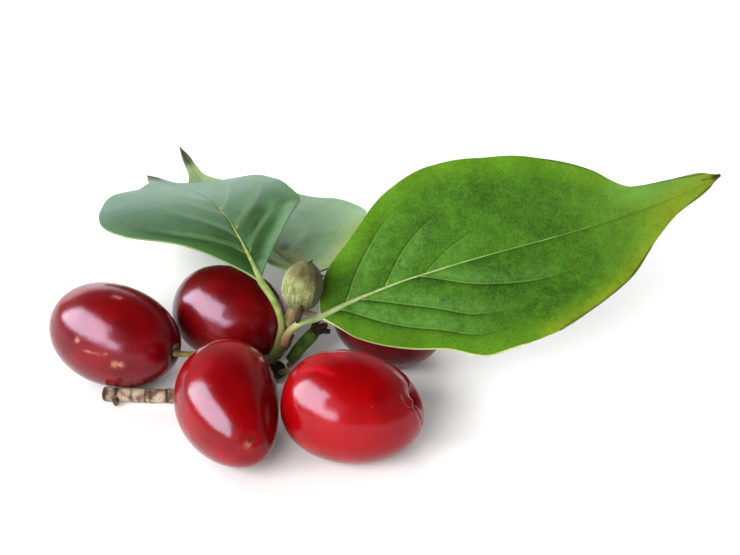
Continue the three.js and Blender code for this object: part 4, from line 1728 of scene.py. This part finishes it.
LEAVES = (
    Leaf(
        side="right", slot="leaf",
        midrib=((-7.3, -30.7, 12.3), (10.2, -25.1, 20.3), (32.7, -21.1, 18.9), (52.9, -10.9, 25.1)),
        roll=(0.743, 0.011, 0.015), lift=(0.1, 0.227), curl=(0, 0.001), half_width=(15.5, 15.6),
        outline=(
            (0, 0.15, 0.35, 0.59, 0.86, 0.98, 0.91, 0.76, 0.52, 0.24, 0.18, 0.12, 0),
            (0, 0.13, 0.37, 0.64, 0.8, 1, 0.96, 0.8, 0.61, 0.34, 0.16, 0.09, 0),
        ),
        petiole=((-12.55, -31.1, 8.1), (-12.2, -31.75, 9.6), (-11.5, -32.25, 11.2), (-10.03, -32.6, 12.57)),
        wave=(0.22, 7.5, 0.4),
        veins=(
            (Vein(0.07, 0.16, 0.8, 0.065, 0.8), Vein(0.172, 0.16, 0.62, 0.095, 0.75),
             Vein(0.275, 0.14, 0.4, 0.13, 0.5)),
            (Vein(0.045, 0.33, 0.79, 0.08), Vein(0.1, 0.31, 0.72, 0.17), Vein(0.258, 0.31, 0.56, 0.2)),
        ),
        face=LeafFace("leaf_face"), back=LeafBack("leaf_underside"), rim=CREAM_RIM, stem=PETIOLE,
        tints=(
            Patch(SHADED, [(0.05, 0.6), (0.1, 0.4)], 1.6, 0.35),
            Patch(SHADED, [(0.42, -0.3), (0.48, -0.3)], 2.2, 0.35),
            # Painted sheen near the tip
            Patch(PALE, [(0.76, 0.7), (0.86, 0.6), (0.93, 0.4)], 1.8, 0.6),
            Patch(OLIVE, [(0.5, -1), (0.66, -1), (0.85, -0.9)], 1.5, 0.7),
            Patch(OLIVE, [(0.84, -0.8), (0.9, -0.2), (1, 0)], 2.6, 0.8),
            Patch(CREAM, [(0.0, -1), (0.1, -1), (0.2, -1), (0.3, -1), (0.42, -1)], 1.0, 1.0),
            Patch(CREAM, [(0.0, 1), (0.1, 1), (0.2, 1), (0.32, 1)], 1.0, 0.35),
            Patch(DRY, [(0.52, -1), (0.62, -1), (0.7, -1), (0.78, -1), (0.88, -1), (0.97, -1)], 0.13, 0.9),
            Patch(DRY, [(0.62, 1), (0.72, 1), (0.8, 1), (0.88, 1), (0.97, 1)], 0.12, 0.7),
            Patch(DRY, [(0.985, 0.2), (1, 0)], 0.7, 1.0),
            Patch(DRY, [(0.955, 0.3), (0.975, 0.25)], 0.14, 0.7),
        ),
        mirrored=False,
    ),
    Leaf(
        side="left", **FURTHER_BACK,
        midrib=((-16, -26.2, 15.6), (-24.2, -3.7, 21.4), (-27.1, 8, 8.9), (-38, 25, 4.8)),
        roll=(-0.059, 0.078, 0.234), lift=(0.176, 0.208), curl=(-0.014, -0.0039), half_width=(17.2, 13.1),
        outline=(
            (0, 0.06, 0.19, 0.49, 0.96, 1.1, 0.99, 0.8, 0.46, 0.3, 0.17, 0.09, 0),
            (0, 0.05, 0.2, 0.55, 0.87, 0.85, 0.82, 0.7, 0.36, 0.15, 0.11, 0.06, 0),
        ),
        petiole=(
            (-13.45, -30.1, 6.9), (-13.1, -30.9, 9.0), (-12.9, -31.0, 11.17), (-13.32, -30.4, 13.23),
            (-14.45, -29.2, 15.06),
        ),
        wave=(0.1, 5, 1.2),
        veins=(
            (Vein(0.1, 0.15, 0.95, 0.09), Vein(0.165, 0.29, 0.9, 0.32), Vein(0.33, 0.25, 0.7, 0.35)),
            (Vein(0.09, 0.2, 0.9, 0.12), Vein(0.21, 0.27, 1.1, 0.22), Vein(0.36, 0.25, 0.8, 0.28)),
        ),
        # Its bluish colour away from the base and its pale patch are painted sheen
        face=LeafFace(
            "left_leaf_face", shade(20, 52, 8), shade(36, 76, 18), shade(66, 106, 50), shade(96, 130, 100),
            far=shade(98, 128, 112), far_from=(0.12, 0.6), far_share=0.85, margin_width=3.0,
            vein=shade(90, 122, 76), rib=shade(138, 162, 92), lines=0.2, blur=4.0, gloss=0.3, roughness=0.48,
        ),
        back=LeafBack("left_leaf_underside"),
        tints=(
            Patch(PALE, [(0.03, -0.5), (0.085, -0.754), (0.145, -0.955), (0.218, -0.865)], 1.1, 0.75),
            Patch(SHADED, [(0.05, 0.2), (0.1, 0.3), (0.16, 0.3)], 2.2, 0.7),
            Patch(SHADED, [(0.07, -0.3), (0.12, -0.35), (0.2, -0.35), (0.25, -0.4)], 1.6, 0.75),
            Patch(DRY, [(0.95, 0.3), (1, 0)], 1.4, 0.9),
        ),
    ),
    Leaf(
        side="back", **FURTHER_BACK,
        midrib=((-9.8, -22.5, 14.4), (-15.5, -0.9, 6.2), (-25.1, 16.9, 0.3), (-33.4, 37, 3.8)),
        roll=(0.2, -0.271, -0.091), lift=(0.418, 0.218), curl=(-0.0082, 0.0004), half_width=(15.7, 16.3),
        outline=(
            (0, 0.12, 0.33, 0.58, 0.85, 1, 0.93, 0.74, 0.42, 0.2, 0.09, 0.05, 0),
            (0, 0.13, 0.36, 0.63, 0.88, 1.1, 0.84, 0.6, 0.42, 0.14, 0.055, 0.035, 0),
        ),
        petiole=((-12.1, -30.6, 10.6), (-11.9, -29.4, 11.3), (-10.9, -26.8, 13.6)), wave=(0.25, 6, 2.3),
        veins=(
            (Vein(0.08, 0.17, 0.85, 0.1), Vein(0.17, 0.26, 0.8, 0.2), Vein(0.32, 0.25, 0.65, 0.28)),
            (Vein(0.09, 0.18, 0.85, 0.1), Vein(0.19, 0.27, 0.8, 0.2), Vein(0.34, 0.25, 0.65, 0.28)),
        ),
        # Its bluish colour away from the base and its pale patch are painted sheen
        face=LeafFace(
            "back_leaf_face", shade(68, 102, 58), shade(90, 124, 82), shade(150, 174, 118),
            shade(128, 160, 122), far=shade(122, 150, 130), far_from=(0.2, 0.5), far_share=0.7,
            margin_width=9.0, vein=shade(108, 136, 98), rib=shade(124, 148, 88), lines=0.2, blur=4.0,
            gloss=0.25, roughness=0.5,
        ),
        back=LeafBack("back_leaf_underside"),
        tints=(
            Patch(PALE, [(0.41, -0.9), (0.32, -1)], 2.6, 0.7),
            # Painted light shining through the blade: the olive strip along the right margin near the base
            # and the olive fold at the base
            Patch(OLIVE, [(0.3, -1), (0.15, -0.9), (0.05, -1)], 1.6, 0.5),
            Patch(OLIVE, [(0.03, 0.9), (0.08, 0.3), (0.16, -0.1)], 1.6, 0.9),
            Patch(OLIVE, [(0.15, -0.2), (0.2, -0.08), (0.24, -0.02)], 1.7, 0.95),
            Patch(SHADED, [(0.27, -0.11), (0.29, -0.14)], 1.0, 0.7),
            Patch(OLIVE, [(0.2, 0.1), (0.26, 0.06), (0.3, 0.0)], 1.2, 0.9),
            Patch(OLIVE, [(0.74, 0), (0.92, 0)], 3.0, 0.6),
            Patch(DRY, [(0.93, 0), (1, 0)], 1.6, 0.9),
        ),
        base_drop=0.8, blush=0.3,
    ),
)

DARK_SKIN = CherrySkin("dark_cherry", shade(82, 2, 4), shade(104, 4, 7), shade(134, 12, 20), roughness=0.21)
RED_SKIN = CherrySkin(
    "red_cherry", shade(104, 2, 5), shade(126, 3, 7), shade(160, 14, 24), gloss_tint=shade(184, 232, 250)
)
BRIGHT_SKIN = CherrySkin(
    "bright_cherry", shade(118, 1, 3), shade(136, 2, 5), shade(164, 10, 22), gloss_tint=shade(196, 232, 246)
)

SCAR, SPOT, LIGHT = MarkKind

CHERRIES = (
    Cherry(
        side="left", slot="fruit_dark", at=(-37.9, -28.1), turn=-25.3, tilt=-2.5,
        length=20.78, width=15.13, fullness=0.97, egg=-0.04, bend=0.23, sway=0,
        dimples=((0, 0, 0.7, 1.3), (180, 0, 0.25, 0.9)), skin=DARK_SKIN,
        marks=(
            Patch(SCAR, [(101.6, 159)], 0.38, 0.7),
            Patch(SCAR, [(62, 177), (67, 177)], 0.5, 0.5),
            Patch(SCAR, [(82, 94), (87, 95)], 0.3, 0.4),
            Patch(SCAR, [(74, 166), (93, 168)], 0.14, 0.4),
            Patch(SPOT, [(101.6, 158)], 0.12, 0.6),
            Patch(SPOT, [(180, 0)], 0.5, 0.9),
            Patch(SPOT, [(0, 0)], 0.8, 0.3),
        ),
    ),
    Cherry(
        side="back", slot="fruit_dark", at=(-20.9, -22), turn=-26.7, tilt=-5.5,
        length=18.2, width=14.4, fullness=0.85, egg=-0.04, bend=0.08, sway=0.14,
        dimples=((0, 0, 1.1, 1.5), (180, 0, 0.25, 0.9)), skin=DARK_SKIN,
        marks=(Patch(SPOT, [(180, 0)], 0.5, 0.9), Patch(SPOT, [(0, 0)], 1.2, 0.6)),
    ),
    Cherry(
        side="front", slot="fruit_dark", at=(-19.87, -46.41), turn=-69.4, tilt=-4.6,
        length=21.4, width=14.65, fullness=0.86, egg=-0.23, bend=0.89, sway=-0.54,
        dimples=((180, 0, 1.1, 1.5), (20, 100, 0.22, 0.9)), skin=RED_SKIN,
        marks=(
            Patch(SPOT, [(80.6, 115)], 0.18, 0.8),
            Patch(SPOT, [(72.4, 123)], 0.22, 0.8),
            Patch(SPOT, [(20, 104)], 0.45, 0.9),
            Patch(SCAR, [(17, 118)], 0.5, 0.4),
            Patch(SPOT, [(180, 0)], 1.2, 0.6),
        ),
    ),
    Cherry(
        side="right", slot="fruit_bright", at=(-2.45, -46.95), turn=5.4, tilt=-10.5,
        length=20.4, width=15.85, fullness=0.95, egg=-0.09, bend=-0.23, sway=-0.44,
        dimples=((30, 98, 0.9, 1.7), (130, -8, 0.8, 1.6)),
        creases=((70, 70, 0.8, 1.2), (56, 118, 0.8, 1.1), (14, 176, 0.8, 1.2)), skin=BRIGHT_SKIN,
        grooves=(
            Groove([(98, 61), (87, 63), (74, 64), (60, 67), (49, 76), (41, 90), (36, 104), (35, 116),
                    (37, 127), (33, 138), (26, 149), (21, 166)], 0.7, 0.42, 0.2),
            Groove([(56, 120), (52, 125), (46, 129), (39, 131)], 0.4, 0.4, 0.1),
        ),
        marks=(
            Patch(SPOT, [(30, 98)], 0.7, 0.6),
            # Painted light: a lighter lower front for light thrown up from the floor, and two painted
            # reflections along the top
            Patch(LIGHT, [(110, 170), (90, 180), (60, 185), (35, 180)], 3.4, 0.3),
            Patch(LIGHT, [(143, 92), (127, 102), (115, 112)], 0.4, 1.0),
            Patch(LIGHT, [(136, 69), (120, 77), (104, 84)], 0.36, 1.0),
        ),
    ),
    Cherry(
        side="hidden", slot="fruit_dark", at=(3.1, -22.9), turn=-19.6, tilt=1,
        length=17.9, width=15.8, fullness=0.99, egg=0.04, bend=-0.1, sway=0,
        dimples=((180, 0, 1.1, 1.5), (0, 0, 0.25, 0.9)), skin=DARK_SKIN,
        marks=(Patch(SPOT, [(180, 0)], 1.2, 0.6), Patch(SPOT, [(0, 0)], 0.5, 0.9)),
    ),
)

STALK = StemFinish("fruit_stalk", shade(92, 84, 44), shade(120, 110, 66), shade(70, 40, 24), 0.3, 0.42)
STALK_RADII = ((0, 0.42), (0.3, 0.38), (0.8, 0.4), (1, 0.5))
STALK_PATHS = {
    "left": ((-15.45, -29.4, 2.8), (-17.3, -30, 5.4), (-22.5, -30.9, 6.6), (-26.6, -31.7, 6.5),
             (-29, -32.3, 7.1)),
    "back": ((-13.9, -27.1, 2.7), (-13, -26.8, 4), (-12.1, -26.6, 5.4), (-12.7, -26.2, 6.1)),
    "front": ((-14.9, -30.45, 2.6), (-17.4, -31.7, 6.2), (-21, -32.2, 8.7), (-23.6, -33.6, 9),
              (-22.8, -35.8, 8.3)),
    "right": ((-13.2, -30.6, 2.5), (-12.8, -32.4, 3.9), (-11.8, -36, 6.2), (-9.9, -41, 7.4)),
    "hidden": ((-12.4, -27.6, 1.5), (-10.7, -25.8, 2.2), (-8.4, -21.8, 5), (-5.9, -19.9, 7.4)),
}
SHOOT = StemFinish("green_shoot", shade(52, 76, 22), shade(88, 104, 46), shade(64, 38, 26), 0.25)
OLD_STALK = StemFinish("old_flower_stalk", shade(42, 68, 12), shade(78, 108, 34), shade(40, 30, 20), 0.2)
DRY_SCALE = StemFinish("dry_scale", shade(44, 30, 22), shade(72, 52, 36), shade(26, 18, 12), 0.4, 0.6)

STEMS = (
    *(Stem(f"{side}_cherry_stalk", f"stalk_{side}", "fruit_stalk", path, STALK_RADII, STALK)
      for side, path in STALK_PATHS.items()),
    Stem("shoot", "green_shoot", "shoot",
         ((-14.6, -28.7, 3.3), (-14.0, -29.3, 5.0), (-13.1, -30.4, 7.4), (-12.6, -31.1, 9.4),
          (-12.5, -31.2, 10.3)),
         ((0, 0.85), (0.3, 0.8), (0.6, 0.86), (0.8, 0.86), (0.93, 0.7), (1, 0.4)), SHOOT,
         # Red-brown node, deepened by painted shade under the right petiole; painted shade at the foot
         blush=(((-11.4, -31.9, 9.6), 1.0, 0.9), ((-14.3, -28.7, 2.8), 1.8, 0.9)),
         prongs=(((-11.7, -31.75, 9.9), (-12.05, -31.4, 8.3), (-12.5, -30.7, 6.8)),)),
    Stem("old_stalk", "spent_stalk", "shoot",
         ((-12.05, -28.15, 2.95), (-10.3, -27.8, 5.2), (-8.2, -27.1, 7.4)),
         ((0, 0.75), (0.4, 0.95), (0.85, 1.0), (1, 0.85)), OLD_STALK,
         # Dry brown top end, and painted shade at the foot where the stems meet
         blush=(((-7.6, -27.0, 7.9), 1.2, 1.0), ((-12.2, -28.2, 2.6), 1.9, 1.0)),
         prongs=(
             ((-8.5, -27.2, 7.2), (-7.4, -26.8, 8.1), (-6.3, -26.6, 8.3)),
             ((-8.5, -27.2, 7.2), (-7.2, -26.6, 7.2), (-6, -26.2, 6.9)),
             ((-8.6, -27.2, 7.2), (-8.2, -26.6, 8.3), (-7.9, -26.3, 8.9)),
         )),
    Stem("bract", "bud_scale", "dry_scale",
         ((-10.6, -33.2, 13.0), (-10.2, -33.7, 14.8), (-9.95, -34.3, 16.7)),
         ((0, 0.18), (0.3, 0.42), (0.7, 0.4), (1, 0.16)), DRY_SCALE, steps=24),
)


def main() -> None:
    """Builds the studio and every piece of the sprig."""
    logging.basicConfig(level=logging.INFO, format="%(message)s")
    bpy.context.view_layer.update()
    for group in (LEAVES, CHERRIES, STEMS, (Twig(), Bud())):
        for piece in group:
            piece.build()
    Studio().build()


if __name__ == "__main__":
    main()
